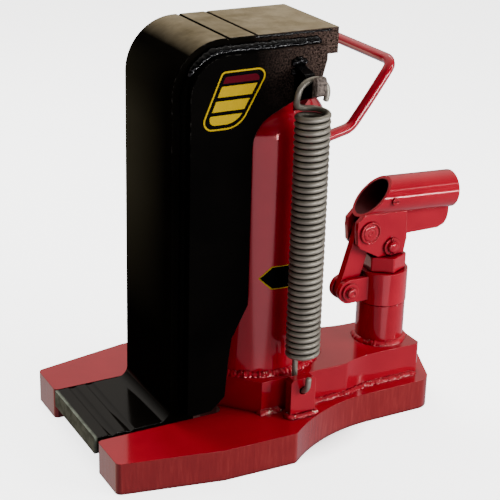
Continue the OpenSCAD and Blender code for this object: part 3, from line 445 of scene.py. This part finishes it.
def film(name, color):
    """Printed vinyl film: slight print mottle and a soft sheen."""
    m, nt, b = new_material(name, color, 0.3, spec=0.004)
    vec = coords(nt)
    n = noise_tex(nt, vec, 260, 4, 0.6)
    lo = tuple(c * 0.96 for c in color)
    hi = tuple(c * 1.03 for c in color)
    nt.links.new(ramp(nt, n, [(0.3, lo), (0.7, hi)]), b.inputs["Base Color"])
    nt.links.new(between(nt, n, 0.3, 0.7, 0.24, 0.4), b.inputs["Roughness"])
    nt.links.new(bump(nt, noise_tex(nt, vec, 60, 2, 0.5), 0.06, 0.0003), b.inputs["Normal"])
    return m


YELLOW = film("film_yellow", (0.35, 0.230, 0.0001))
FILM_BLACK = film("film_black", (0.0012, 0.0012, 0.0015))
MAROON = film("film_maroon", (0.055, 0.002, 0.006))


# ---------------------------------------------------------------- the CAD nodes' materials
BY_SLOT = {"red_enamel": RED, "black_paint": BLACK, "spring_steel": SPRING, "bright_steel": BRIGHT,
           "pin_steel": PIN, "dark_steel": DARK, "seal_rubber": rubber()}
BY_NODE = {"socket_tube": RED_TUBE, "gland_nut": RED_NUT, "base_plate": RED_BASE}
for name in ("swivel_collar", "cheek_near", "cheek_far", "socket_rib", "link", "lock_screw",
             "ear_pin", "ear_clip_near", "ear_clip_far", "link_pin", "link_clip",
             "plunger_pin", "plunger_clip_near", "plunger_clip_far"):
    BY_NODE[name] = RED_CAST
for side in ("l", "r"):
    BY_NODE["web_" + side] = BLACK_PLAIN
    BY_NODE["spring_lug_" + side] = BLACK_LUG


def paint(obj, material):
    obj.data.materials.clear()
    obj.data.materials.append(material)


for row in frame["record"]["subparts"]:
    paint(nodes[row["node"]], BY_NODE.get(row["node"], BY_SLOT[row["material_slot"]]))


def soften(node, width):
    """Rounds a CAD node's sharp edges with modifiers; its own mesh stays as it is."""
    o = nodes[node]
    w = o.modifiers.new("weld", "WELD")
    w.merge_threshold = 2e-6
    b = o.modifiers.new("bevel", "BEVEL")
    b.width = width * MM
    b.segments = 3
    b.limit_method = "ANGLE"
    b.angle_limit = math.radians(32)
    b.harden_normals = False
    b.use_clamp_overlap = True
    o.modifiers.new("normals", "WEIGHTED_NORMAL").weight = 60


EDGES = {"base_plate": 1.2, "block": 1.2, "claw_plate": 1.6, "web_l": 1.0, "web_r": 1.0,
         "spring_lug_l": 0.9, "spring_lug_r": 0.9, "pump_barrel": 0.7, "gland_nut": 0.8,
         "swivel_collar": 0.6, "link": 0.9, "socket_rib": 1.4, "socket_tube": 0.5}
for node, width in EDGES.items():
    soften(node, width)


# ---------------------------------------------------------------- mesh helpers
def finish_mesh(name, bm, mats, smooth=True):
    me = bpy.data.meshes.new(name)
    bmesh.ops.recalc_face_normals(bm, faces=bm.faces)
    bm.to_mesh(me)
    bm.free()
    o = bpy.data.objects.new(name, me)
    bpy.context.scene.collection.objects.link(o)
    for m in mats:
        me.materials.append(m)
    for p in me.polygons:
        p.use_smooth = smooth
    return o


def catmull(pts, step):
    """Points about step apart on a smooth curve through pts."""
    P = [Vector(p) for p in pts]
    P = [2 * P[0] - P[1]] + P + [2 * P[-1] - P[-2]]
    out = []
    for a, b, c, d in zip(P, P[1:], P[2:], P[3:]):
        n = max(1, round((c - b).length / step))
        for k in range(n):
            t = k / n
            out.append(0.5 * ((2 * b) + (c - a) * t + (2 * a - 5 * b + 4 * c - d) * t * t
                              + (3 * b - a - 3 * c + d) * t ** 3))
    out.append(P[-2])
    return out


def along(P):
    """A frame at each point of a path: the point, its direction and two sides that don't twist."""
    first = (P[1] - P[0]).normalized()
    up = Vector((0, 0, 1)) if abs(first.z) < 0.9 else Vector((1, 0, 0))
    u = (up - first * up.dot(first)).normalized()
    frames = []
    for p, before, after in zip(P, P[:1] + P, P[1:] + P[-1:]):
        t = (after - before).normalized()
        u = (u - t * u.dot(t)).normalized()
        frames.append((p, t, u.copy(), t.cross(u)))
    return frames


def sweep(name, pts, radius, mat, sides=12, round_ends=False):
    """A round rod along pts. radius is a number or a function of (index, angle)."""
    frames = along([Vector(p) for p in pts])
    size = radius if callable(radius) else lambda i, ang: radius
    bm = bmesh.new()

    def ring(i, shift=0.0, scale=1.0):
        center, t, u, v = frames[i]
        out = []
        for k in range(sides):
            ang = 2 * math.pi * k / sides
            spoke = (u * math.cos(ang) + v * math.sin(ang)) * (size(i, ang) * scale)
            out.append(bm.verts.new((center + t * shift + spoke) * MM))
        return out

    def cap(i, way, degrees):
        bulge = way * 0.55 * size(0, 0)
        return [ring(i, bulge * math.sin(a), math.cos(a)) for a in map(math.radians, degrees)]

    last = len(frames) - 1
    rings = cap(0, -1, (75, 50, 25)) if round_ends else []
    rings += [ring(i) for i in range(len(frames))]
    rings += cap(last, 1, (25, 50, 75)) if round_ends else []
    for A, B in zip(rings, rings[1:]):
        for k in range(sides):
            bm.faces.new((A[k], A[(k + 1) % sides], B[(k + 1) % sides], B[k]))
    bm.faces.new(list(reversed(rings[0])))
    bm.faces.new(rings[-1])
    return finish_mesh(name, bm, [mat])


def weld(name, pts, size, seed, mat, pitch=2.8, ripple=0.2, lumps=0.2, wander=0.45):
    """A hand-laid bead: overlapping ripples, uneven width, a wandering line and tapered ends."""
    P = catmull(pts, 0.6)
    off = random.Random(seed).random() * 50
    run = [0.0]
    for a, b in zip(P, P[1:]):
        run.append(run[-1] + (b - a).length)
    line = [p + noise.noise_vector(Vector((s * 0.09 + off, seed * 3.1, 0.0))) * wander
            for p, s in zip(P, run)]

    def radius(i, ang):
        s = run[i]
        phase = s / pitch + 0.9 * noise.noise(Vector((s * 0.16, off, 2.0)))
        wave = abs(math.sin(math.pi * phase))
        wide = 1 + 0.24 * noise.noise(Vector((s * 0.11, off, 5.0)))
        lump = lumps * noise.noise(Vector((s * 0.55, math.cos(ang) * 1.7, math.sin(ang) * 1.7 + off)))
        taper = min(1.0, 0.55 + min(s, run[-1] - s) / 6)
        return size * (1 - ripple + ripple * wave + lump) * wide * taper

    return sweep(name, line, radius, mat, sides=14, round_ends=True)


def arc(center, z, r, start, end, n):
    """n equal steps round center, from start to end in degrees."""
    angles = [math.radians(start + (end - start) * i / n) for i in range(n + 1)]
    return [(center.x + r * math.cos(a), center.y + r * math.sin(a), z) for a in angles]


def lathe_y(name, x, z, profile, mat):
    """A turned piece about an axis along Y through (x, z). profile is a list of (radius, y)."""
    sides = 48
    bm = bmesh.new()
    rings = []
    for r, y in profile:
        if r <= 0:
            rings.append([bm.verts.new((x * MM, y * MM, z * MM))])
        else:
            angles = [2 * math.pi * k / sides for k in range(sides)]
            rings.append([bm.verts.new(((x + r * math.cos(a)) * MM, y * MM, (z + r * math.sin(a)) * MM))
                          for a in angles])
    for A, B in zip(rings, rings[1:]):
        for k in range(sides):
            quad = [A[k % len(A)], A[(k + 1) % len(A)], B[(k + 1) % len(B)], B[k % len(B)]]
            face = list(dict.fromkeys(quad))
            if len(face) > 2:
                bm.faces.new(face)
    o = finish_mesh(name, bm, [mat])
    o.modifiers.new("edges", "EDGE_SPLIT").split_angle = math.radians(38)
    return o


def place(obj, body, slot, *replaced):
    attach(obj, body)
    if replaced:
        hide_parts(*replaced)


SIDES = (1, -1)  # near and far, called l and r


def letter(s):
    return "l" if s > 0 else "r"


def on_side(s, pts):
    return [(x, s * y, z) for x, y, z in pts]


# ---------------------------------------------------------------- return springs
def spring(s):
    """A hook in the tab, a short leg, the close coils, and an eye over the lug."""
    wire, turns, per_turn = 2.28, 40, 30
    lo, hi = box("return_spring_l")
    x, y = (lo.x + hi.x) / 2, (lo.y + hi.y) / 2
    r = (hi.x - lo.x) / 2 - wire
    hook = r - 0.7
    hook_z, seat = lo.z + wire + hook, hi.z - wire
    low, high = hook_z + 20.6, seat - 24.4
    pts = [(x, y + hook + 0.6, hook_z + 3.4), (x, y + hook + 0.3, hook_z + 1.8)]
    half_turn = [math.pi * i / 16 for i in range(17)]
    pts += [(x, y + hook * math.cos(a), hook_z - hook * math.sin(a)) for a in half_turn]
    pts += [(x, y - hook, hook_z + 6), (x, y - hook, hook_z + 11), (x + 0.2, y - hook, hook_z + 15.5),
            (x + 1.2, y - hook - 0.2, hook_z + 18.8)]
    gap, steps = 0.34, turns * per_turn
    for i in range(steps + 1):
        a = gap - math.pi / 2 + (2 * math.pi * turns - gap) * i / steps
        pts.append((x + r * math.cos(a), y + r * math.sin(a), low + (high - low) * i / steps))
    eye = [(4.6, -10.1, -23.1), (8.6, -8.0, -21.0), (11.4, -4.8, -17.8), (12.8, -1.8, -13.6),
           (12.9, -0.2, -9.6), (11.4, 0, -5.8), (8.4, 0, -2.7), (4.4, 0, -0.7), (0, 0, 0), (-4.4, 0, -0.8),
           (-8.0, 0, -3.2), (-10.6, 0, -7.0), (-11.3, 0, -11.6), (-10.2, 0, -16.4)]
    pts += [(x + dx, y + dy, seat + dz) for dx, dy, dz in eye]
    P = [Vector((p.x, s * p.y, p.z)) for p in catmull(pts, 1.3)]
    o = sweep("spring_wire_" + letter(s), P, wire, SPRING, round_ends=True)
    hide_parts("return_spring_" + letter(s))
    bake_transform(o)


for s in SIDES:
    spring(s)


# ---------------------------------------------------------------- carrying handle
def handle():
    """Up from each foot, back round two bends, and across at the rear."""
    lo, hi = box("carry_handle")
    rod = 4.25
    half, top, back = hi.y - rod, hi.z - rod, lo.x + rod
    foot = [(-28, 239), (-40, 242.3), (-49, 244.4)]
    bend = [(-54.5, 245.9), (-58.4, 248.6), (-62, 253.0)]
    arm = [(-73, 267.6), (-83.5, 282.3), (-87.0, 287.3)]
    corner = [(back + 2.2, half - 0.9, top - 3.6), (back + 0.7, half - 3.6, top - 1.1),
              (back, half - 7.5, top - 0.1), (back, half - 13, top), (back, 12, top)]
    near = [(x, half, z) for x, z in foot + bend + arm] + corner
    path = catmull(near + on_side(-1, reversed(near)), 2.0)
    place(sweep("handle_rod", path, rod, RED_ROD, sides=16), "base", "red_enamel", "carry_handle")
    x, z, r = -32.9, 240.2, 5.0  # the weld's middle and radius, laid round the foot
    for s in SIDES:
        ring = [(x - 0.77 * math.cos(a), s * (half + r * math.cos(a)), z + r * math.sin(a))
                for a in (2 * math.pi * k / 40 for k in range(41))]
        place(weld("handle_weld_" + letter(s), ring, 1.7, 31 + s, RED_WELD), "base", "red_enamel")


handle()


# ---------------------------------------------------------------- welds
def foot_welds():
    """Rings at the foot of the tank and of the pump, and the blob where the pump's ring was restarted."""
    ring = arc(TANK, BLOCK_HI.z - 1.0, TANK_R - 0.8, 0, 360, 90)
    o = weld("tank_foot_weld", ring, 5.2, 3, RED_WELD, pitch=3.4, ripple=0.10, lumps=0.22)
    place(o, "base", "red_enamel", "tank_bead")
    ring = arc(PUMP, BLOCK_HI.z - 0.8, PUMP_R - 0.8, -120, 240, 60)
    o = weld("pump_foot_weld", ring, 4.1, 5, RED_CAST, pitch=5.2, ripple=0.04, lumps=0.12)
    place(o, "base", "red_enamel", "pump_bead")
    ring = arc(PUMP, BLOCK_HI.z - 0.6, PUMP_R - 0.4, 18, 92, 24)
    o = weld("pump_foot_restart", ring, 3.9, 6, RED_WELD, pitch=1.6, ripple=0.12, lumps=0.3)
    place(o, "base", "red_enamel")


foot_welds()


def block_welds():
    """Runs along the block's foot, which is wide under the tank and hollows in to a bar at the rear."""
    side, rear, z = BLOCK_HI.y, BLOCK_LO.x, BASE_TOP - 0.6
    step, bar = -54.5, 55.5  # where the wide part ends, and the bar's near side
    wide = side - 0.5
    hollow = [(step - 3, side - 1.4, z), (step - 12, side - 3.6, z), (step - 22, bar + 0.4, z),
              (step - 32, bar - 0.4, z)]
    near = [(-16, wide, z), (-30, wide, z), (-44, wide, z)] + hollow
    near += [(-105, bar - 0.5, z), (rear + 3, bar - 0.7, z)]
    behind = [(rear + 0.6, bar - 5, z), (rear + 0.5, 40, z), (rear + 0.5, 27, z), (rear + 0.5, 14, z),
              (rear + 0.6, 3, z)]
    far = 0.5 - side
    runs = (
        ("near_corner", [(25, side - 2.2, z), (20, side - 0.6, z), (12, wide, z), (5, wide, z)], 4.6),
        ("near_side", near, 3.9),
        ("rear", behind, 3.7),
        ("far_rear", [(rear + 4, -1.0, z), (-112, -1.0, z), (-100, -1.0, z)], 3.6),
        ("far_side", [(23, far + 0.1, z), (0, far, z), (-28, far + 0.1, z)], 4.2),
    )
    for i, (name, pts, size) in enumerate(runs):
        o = weld("block_weld_" + name, pts, size, 11 + i, RED_WELD,
                 pitch=2.3, ripple=0.10, lumps=0.30, wander=0.6)
        place(o, "base", "red_enamel", *(["block_bead"] if name == "near_corner" else []))


block_welds()


def tab_weld(s):
    """Round the three outer sides of a spring tab's foot."""
    x0, x1, y0, y1, z = TAB_LO.x, TAB_HI.x, TAB_LO.y, TAB_HI.y, BASE_TOP + 0.7
    pts = [(x1 + 0.8, y0 + 1, z), (x1 + 1.0, y1 - 1, z), (x1 - 1, y1 + 1.0, z), (x1 - 8, y1 + 1.5, z),
           (x0 + 8, y1 + 1.4, z), (x0 + 1, y1 + 1.0, z), (x0 - 1.0, y1 - 1, z), (x0 - 0.8, y0 + 1, z)]
    name = "tab_weld_" + letter(s)
    o = weld(name, on_side(s, pts), 2.5, 41 + s, RED_WELD, pitch=2.0, ripple=0.15, lumps=0.35)
    place(o, "base", "red_enamel", "tab_bead_" + letter(s))


def web_weld(s):
    """Up the front of a web, round its bend and back along its top, in the corner with the plate."""
    inner = PLATE_HI.y + 1.3
    bend, out = 30.0, 1.2
    front, top = WEB_HI.x + out, WEB_HI.z + out
    cx, cz, r = WEB_HI.x - bend, WEB_HI.z - bend, bend + out
    quarter = [math.radians(a) for a in range(0, 91, 15)]
    turn = [(cx + r * math.cos(a), inner, cz + r * math.sin(a)) for a in quarter]
    rise = [(front - 0.6, inner - 0.6, z) for z in (WEB_LO.z + 5, 80, 130, 180, 230, 262)] + turn[:3]
    back = turn[2:] + [(x, inner, top) for x in (40, 20, 0, WEB_LO.x + 2)]
    name = "web_weld_rise_" + letter(s)
    o = weld(name, on_side(s, rise), 3.0, 55 + s, BLACK_PLAIN, pitch=5.0, ripple=0.06, lumps=0.2)
    place(o, "claw", "black_paint", "web_bead_" + letter(s))
    name = "web_weld_back_" + letter(s)
    o = weld(name, on_side(s, back), 4.0, 55 + s, BLACK_WELD, pitch=5.0, ripple=0.06, lumps=0.2)
    place(o, "claw", "black_paint")


def lug_welds(s):
    """Dabs over a spring lug and one beside it, where it meets the web."""
    y, over = WEB_HI.y, LUG_HI.z + 1.6
    dabs = ((LUG_HI.x - 0.5, over, 4.2), (LUG_HI.x - 4.5, over + 1.2, 4.6), (LUG_LO.x + 0.5, over, 3.8),
            (LUG_HI.x + 0.6, over - 7, 3.0))
    for k, (x, z, size) in enumerate(dabs):
        dab = [(x + 1.2, y - 0.6, z - 1.5), (x, y + 0.2, z), (x - 1.2, y - 0.6, z + 1.2)]
        name = "lug_weld_%s_%d" % (letter(s), k)
        o = weld(name, on_side(s, dab), size, 61 + s + 3 * k, BLACK_WELD, pitch=2.0, lumps=0.5)
        place(o, "claw", "black_paint")


def edge_slag(s):
    """A thin line of slag along the upper edge of the head."""
    pts = [(x, PLATE_HI.y - 0.4, PLATE_HI.z - 1.6) for x in range(26, -42, -4)]
    name = "edge_slag_" + letter(s)
    o = weld(name, on_side(s, pts), 1.0, 71 + s, BLACK_WELD, pitch=3.0, ripple=0.3, lumps=0.6, wander=0.25)
    place(o, "claw", "black_paint")


for s in SIDES:
    tab_weld(s)
for s in SIDES:
    web_weld(s)
    lug_welds(s)
    edge_slag(s)


# ---------------------------------------------------------------- pump head pins
def front_pin():
    """The pin through both cheeks: a round head with a rim, a groove and a shallow ring in its face."""
    y = box("cheek_near")[1].y
    tail = box("cheek_far")[0].y - 4
    c = middle("link_pin")
    shank = [(0, tail), (3.9, tail), (4.5, tail + 0.6), (4.5, y)]
    rim = [(9.0, y), (9.3, y + 0.4), (9.3, y + 1.5), (8.8, y + 2.0), (8.0, y + 2.0)]
    groove = [(7.5, y + 1.2), (6.9, y + 1.2)]
    face = [(6.5, y + 1.7), (6.0, y + 1.95), (4.2, y + 2.0), (4.0, y + 1.75), (3.4, y + 1.75),
            (3.2, y + 2.0), (1.2, y + 2.0), (0.8, y + 1.6), (0, y + 1.6)]
    o = lathe_y("front_pin", c.x, c.z, shank + rim + groove + face, RED_CAST)
    place(o, "socket", "red_enamel", "link_pin")


def cross_pin(node, name, body, near_end):
    """A pin of 4.5 mm radius, chamfered at the far end; near_end gives the rest of its outline."""
    lo, hi = box(node)
    c = (lo + hi) / 2
    shank = [(0, lo.y), (4.0, lo.y), (4.5, lo.y + 0.6)] + [(r, hi.y - depth) for r, depth in near_end]
    place(lathe_y(name, c.x, c.z, shank, RED_CAST), body, "red_enamel", node)


def split_pin():
    """A bent wire through the plunger pin's near end, with a loop at the top and its legs spread below."""
    c = middle("plunger_pin")
    y = box("plunger_pin")[1].y - 2.4
    path = [(1.8, -6.2), (0.5, -4), (0.5, 4.2), (1.2, 6.2), (0.4, 7.6), (-0.6, 6.2), (-0.5, 4.2),
            (-0.5, -4), (-2.2, -6.4)]
    wire = catmull([(c.x + dx, y, c.z + dz) for dx, dz in path], 0.5)
    o = sweep("plunger_split_pin", wire, 0.62, RED_CAST, sides=8, round_ends=True)
    place(o, "pump_plunger", "red_enamel")


front_pin()
cross_pin("plunger_pin", "plunger_cross_pin", "pump_plunger", [(4.5, 1.2), (4.2, 0.5), (3.4, 0), (0, 0)])
cross_pin("ear_pin", "ear_cross_pin", "pump_head",
          [(4.5, 2.6), (3.6, 2.4), (3.6, 1.6), (4.4, 1.4), (4.2, 0.5), (3.4, 0), (2.2, 0), (2.0, 0.5),
           (0, 0.5)])
split_pin()


# ---------------------------------------------------------------- printed panels, left generic
def rounded(corners, radii, n=10):
    """A convex outline with its corners rounded."""
    out = []
    for i, (c, r) in enumerate(zip(corners, radii)):
        a = (corners[i - 1] - c).normalized()
        b = (corners[(i + 1) % len(corners)] - c).normalized()
        half = a.angle(b) / 2
        center = c + (a + b).normalized() * r / math.sin(half)
        t1, t2 = c + a * r / math.tan(half) - center, c + b * r / math.tan(half) - center
        a1, a2 = math.atan2(t1.y, t1.x), math.atan2(t2.y, t2.x)
        turn = (a2 - a1 + math.pi) % (2 * math.pi) - math.pi
        angles = [a1 + turn * k / n for k in range(n + 1)]
        out += [center + Vector((math.cos(a), math.sin(a))) * r for a in angles]
    return out


def band(poly, lo, hi):
    """The part of a convex outline between two heights."""
    for level, way in ((hi, -1), (lo, 1)):
        out = []
        for a, b in zip(poly, poly[1:] + poly[:1]):
            da, db = (a.y - level) * way, (b.y - level) * way
            if da >= 0:
                out.append(a)
            if da * db < 0:
                out.append(a + (b - a) * da / (da - db))
        poly = out
    return poly


def inset(corners, d):
    """Each side of a convex outline moved inwards by d."""
    mid = sum(corners, Vector((0, 0))) / len(corners)
    lines = []
    for a, b in zip(corners, corners[1:] + corners[:1]):
        nrm = Vector((-(b - a).y, (b - a).x)).normalized()
        if nrm.dot(mid - a) < 0:
            nrm = -nrm
        lines.append((a + nrm * d, (b - a).normalized()))
    out = []
    for (p, u), (q, v) in zip(lines[-1:] + lines[:-1], lines):
        t = ((q - p).x * v.y - (q - p).y * v.x) / (u.x * v.y - u.y * v.x)
        out.append(p + u * t)
    return out


def web_panel(s):
    """A yellow outline, a maroon band and three yellow bars on a dark field, as thin layers on a web."""
    x0, z0 = WEB_HI.x, WEB_HI.z
    corners = [Vector(c) for c in ((x0 - 24.6, z0 - 11.3), (x0 - 63.8, z0 - 11.1), (x0 - 39.4, z0 - 54.6),
                                   (x0 - 6.6, z0 - 54.2))]
    shape = rounded(inset(corners, 4.0), [2.0, 3.5, 16.0, 4.5])
    top = max(p.y for p in shape)
    bar, pitch, first = 7.8, 10.6, 7.0
    layers = [(rounded(corners, [4.5, 6.0, 19.0, 7.0]), YELLOW),
              (rounded(inset(corners, 1.25), [3.2, 4.8, 17.5, 5.8]), FILM_BLACK),
              (band(shape, top - 5.0, top), MAROON)]
    for i in range(3):
        hi = top - first - i * pitch
        layers.append((band(shape, hi - bar, hi), YELLOW))
    mats = [YELLOW, FILM_BLACK, MAROON]
    sunk, lift, film_thick = 0.05, 0.10, 0.035
    bm = bmesh.new()
    for i, (poly, mat) in enumerate(layers):
        out, back = (WEB_HI.y + lift + film_thick * i) * s, (WEB_HI.y - sunk) * s
        top_ring = [bm.verts.new((p.x * MM, out * MM, p.y * MM)) for p in poly]
        low_ring = [bm.verts.new((p.x * MM, back * MM, p.y * MM)) for p in poly]
        faces = [bm.faces.new(top_ring)]
        for k in range(len(poly)):
            j = (k + 1) % len(poly)
            faces.append(bm.faces.new((top_ring[k], top_ring[j], low_ring[j], low_ring[k])))
        for f in faces:
            f.material_index = mats.index(mat)
    place(finish_mesh("web_panel_" + letter(s), bm, mats, smooth=False), "claw", "black_paint")


for s in SIDES:
    web_panel(s)


def tank_panel():
    """A bare pointed panel wrapped on the tank, with a thin rim."""
    start, end = math.radians(66), math.radians(112)
    z, half, point, steps = 136.5, 9.6, 10.2, 60
    bm = bmesh.new()
    for index, (margin, lift) in enumerate(((0.0, 0.10), (0.8, 0.16))):
        r = TANK_R + lift
        s0, s1 = margin * 1.5, (end - start) * TANK_R - margin
        rows = []
        for i in range(steps + 1):
            s = s0 + (s1 - s0) * i / steps
            h = min(half - margin, (s - s0) * (half - margin) / (point - 0.4 * margin))
            a = start + s / TANK_R
            x, y = r * math.cos(a), r * math.sin(a)
            rows.append([bm.verts.new((x * MM, y * MM, (z + v) * MM)) for v in (-h, h)])
        for A, B in zip(rows, rows[1:]):
            bm.faces.new((A[0], B[0], B[1], A[1])).material_index = index
    bmesh.ops.remove_doubles(bm, verts=bm.verts, dist=1e-6)
    place(finish_mesh("tank_panel", bm, [YELLOW, FILM_BLACK], smooth=False), "base", "red_enamel")


tank_panel()


# ---------------------------------------------------------------- camera, floor and light
def camera():
    """The photograph's viewing angle, with the small shift of its framing."""
    turn, rise, roll = math.radians(151.5), math.radians(21.54), math.radians(1.49)
    distance, aim = 1.09493, Vector((0.0105, 0, 0.160))
    back = Vector((math.sin(turn) * math.cos(rise), -math.cos(turn) * math.cos(rise), math.sin(rise)))
    level = (-back).cross(Vector((0, 0, 1))).normalized()
    tall = level.cross(-back)
    right = math.cos(roll) * level + math.sin(roll) * tall
    up = math.cos(roll) * tall - math.sin(roll) * level
    data = bpy.data.cameras.new("camera")
    data.sensor_width = 36
    data.lens = 99.91
    data.shift_x = 0.0159
    data.shift_y = -0.0466
    data.clip_start = 0.01
    cam = bpy.data.objects.new("camera", data)
    bpy.context.scene.collection.objects.link(cam)
    pose = Matrix((right, up, back)).transposed().to_4x4()
    pose.translation = aim + back * distance
    cam.matrix_world = pose
    bpy.context.scene.camera = cam


def floor():
    """A plain pale floor that stays out of the paint's reflections, its glow faded out under the jack as a
    painted shadow.
    """
    bpy.ops.mesh.primitive_plane_add(size=30, location=(0, 0, 0))
    o = bpy.context.object
    o.name = "floor"
    m, nt, b = new_material("floor_white", (0.8, 0.8, 0.8), 0.7, spec=0.1)
    n = noise_tex(nt, coords(nt), 3, 3, 0.5)
    color = ramp(nt, n, [(0.3, (0.80, 0.80, 0.80)), (0.7, (0.82, 0.82, 0.82))])
    nt.links.new(color, b.inputs["Base Color"])
    b.inputs["Emission Color"].default_value = (1, 1, 1, 1)
    # painted shadow: no glow within 70 mm of the middle, full glow from 105 mm out
    far = vector_math(nt, "LENGTH", coords(nt))
    nt.links.new(between(nt, far, 0.07, 0.105, 0.0, 3.2), b.inputs["Emission Strength"])
    paint(o, m)
    o.visible_glossy = False
    o.visible_diffuse = False


def area(name, loc, size, power, target=(0, 0, 0.14), mirrored=False):
    """A soft panel; only the narrow strips are mirrored in the gloss, and they light nothing else."""
    data = bpy.data.lights.new(name, "AREA")
    data.shape = "RECTANGLE"
    data.size, data.size_y = size
    data.energy = power
    o = bpy.data.objects.new(name, data)
    bpy.context.scene.collection.objects.link(o)
    o.location = loc
    o.rotation_euler = (Vector(target) - Vector(loc)).to_track_quat("-Z", "Y").to_euler()
    o.visible_glossy = mirrored
    o.visible_diffuse = not mirrored
    o.visible_camera = False


def lights():
    area("key", (-0.95, 0.85, 0.48), (0.7, 0.7), 36.0, target=(-0.02, 0.04, 0.10))
    area("front", (-0.1, 1.3, 0.35), (0.4, 0.8), 5.5)
    area("back", (0.15, -0.8, 1.1), (0.8, 0.6), 21.0)
    area("top", (-0.1, 0.0, 1.2), (0.6, 0.6), 3.0)
    area("strip_right", (-1.0, 0.75, 0.45), (0.05, 0.6), 3.0, mirrored=True)
    area("strip_low", (-0.55, 0.85, 0.10), (0.40, 0.04), 3.4, target=SOCKET, mirrored=True)
    area("strip_handle", (-0.13, 0.95, 0.18), (0.14, 0.22), 4.0, target=(-0.07, 0.05, 0.26), mirrored=True)
    area("strip_front", (-0.64, 0.91, 0.79), (1.0, 0.02), 1.2, target=SOCKET, mirrored=True)
    area("strip_top", (-0.64, -0.2, 1.23), (1.0, 0.02), 1.2, target=SOCKET, mirrored=True)


def studio():
    """What the gloss mirrors: a soft box, a pale wall, a sky that brightens upwards and a warm ground."""
    w = bpy.data.worlds.new("world")
    bpy.context.scene.world = w
    w.use_nodes = True
    nt = w.node_tree
    bg = nt.nodes["Background"]
    x, y, z = xyz(nt, nt.nodes.new("ShaderNodeTexCoord").outputs["Generated"])

    rise = math_node(nt, "SUBTRACT", z, between(nt, y, -0.1, 0.3, 0.0, 0.38))
    sky = between(nt, rise, 0.06, 0.80, 0.0, 0.9)
    wall = times(nt, between(nt, y, -0.26, -0.14, 0.27, 0.0), between(nt, z, 0.0, 0.15))
    upper = times(nt, plus(nt, sky, wall), between(nt, x, 0.1, 0.7, 1.0, 0.45))

    ground = times(nt, between(nt, x, 0.1, 0.5, 0.0, 0.55), between(nt, y, -0.5, 0.3, 1.0, 0.0))
    facing = math.radians(77.5)  # where the soft box stands, seen from above
    toward = plus(nt, times(nt, x, math.cos(facing)), times(nt, y, math.sin(facing)))
    soft_box = between(nt, toward, 0.872, 0.886, 0.0, 1.7)
    lower = plus(nt, plus(nt, ground, 0.62), soft_box)

    below = between(nt, z, -0.08, 0.0, 1.0, 0.0)
    mirrored = plus(nt, times(nt, lower, below), times(nt, upper, inverse(nt, below)))
    warmth = math_node(nt, "MINIMUM", ground, 1.0)
    tint = mix_color(nt, warmth, (0.98, 0.94, 1.04), (1.50, 0.80, 0.42))
    nt.links.new(mix_color(nt, below, (1.04, 0.98, 0.90), tint), bg.inputs["Color"])

    backdrop = nt.nodes.new("ShaderNodeLightPath").outputs["Is Camera Ray"]
    strength = plus(nt, times(nt, backdrop, 3.2), times(nt, mirrored, inverse(nt, backdrop)))
    nt.links.new(strength, bg.inputs["Strength"])


camera()
floor()
lights()
studio()
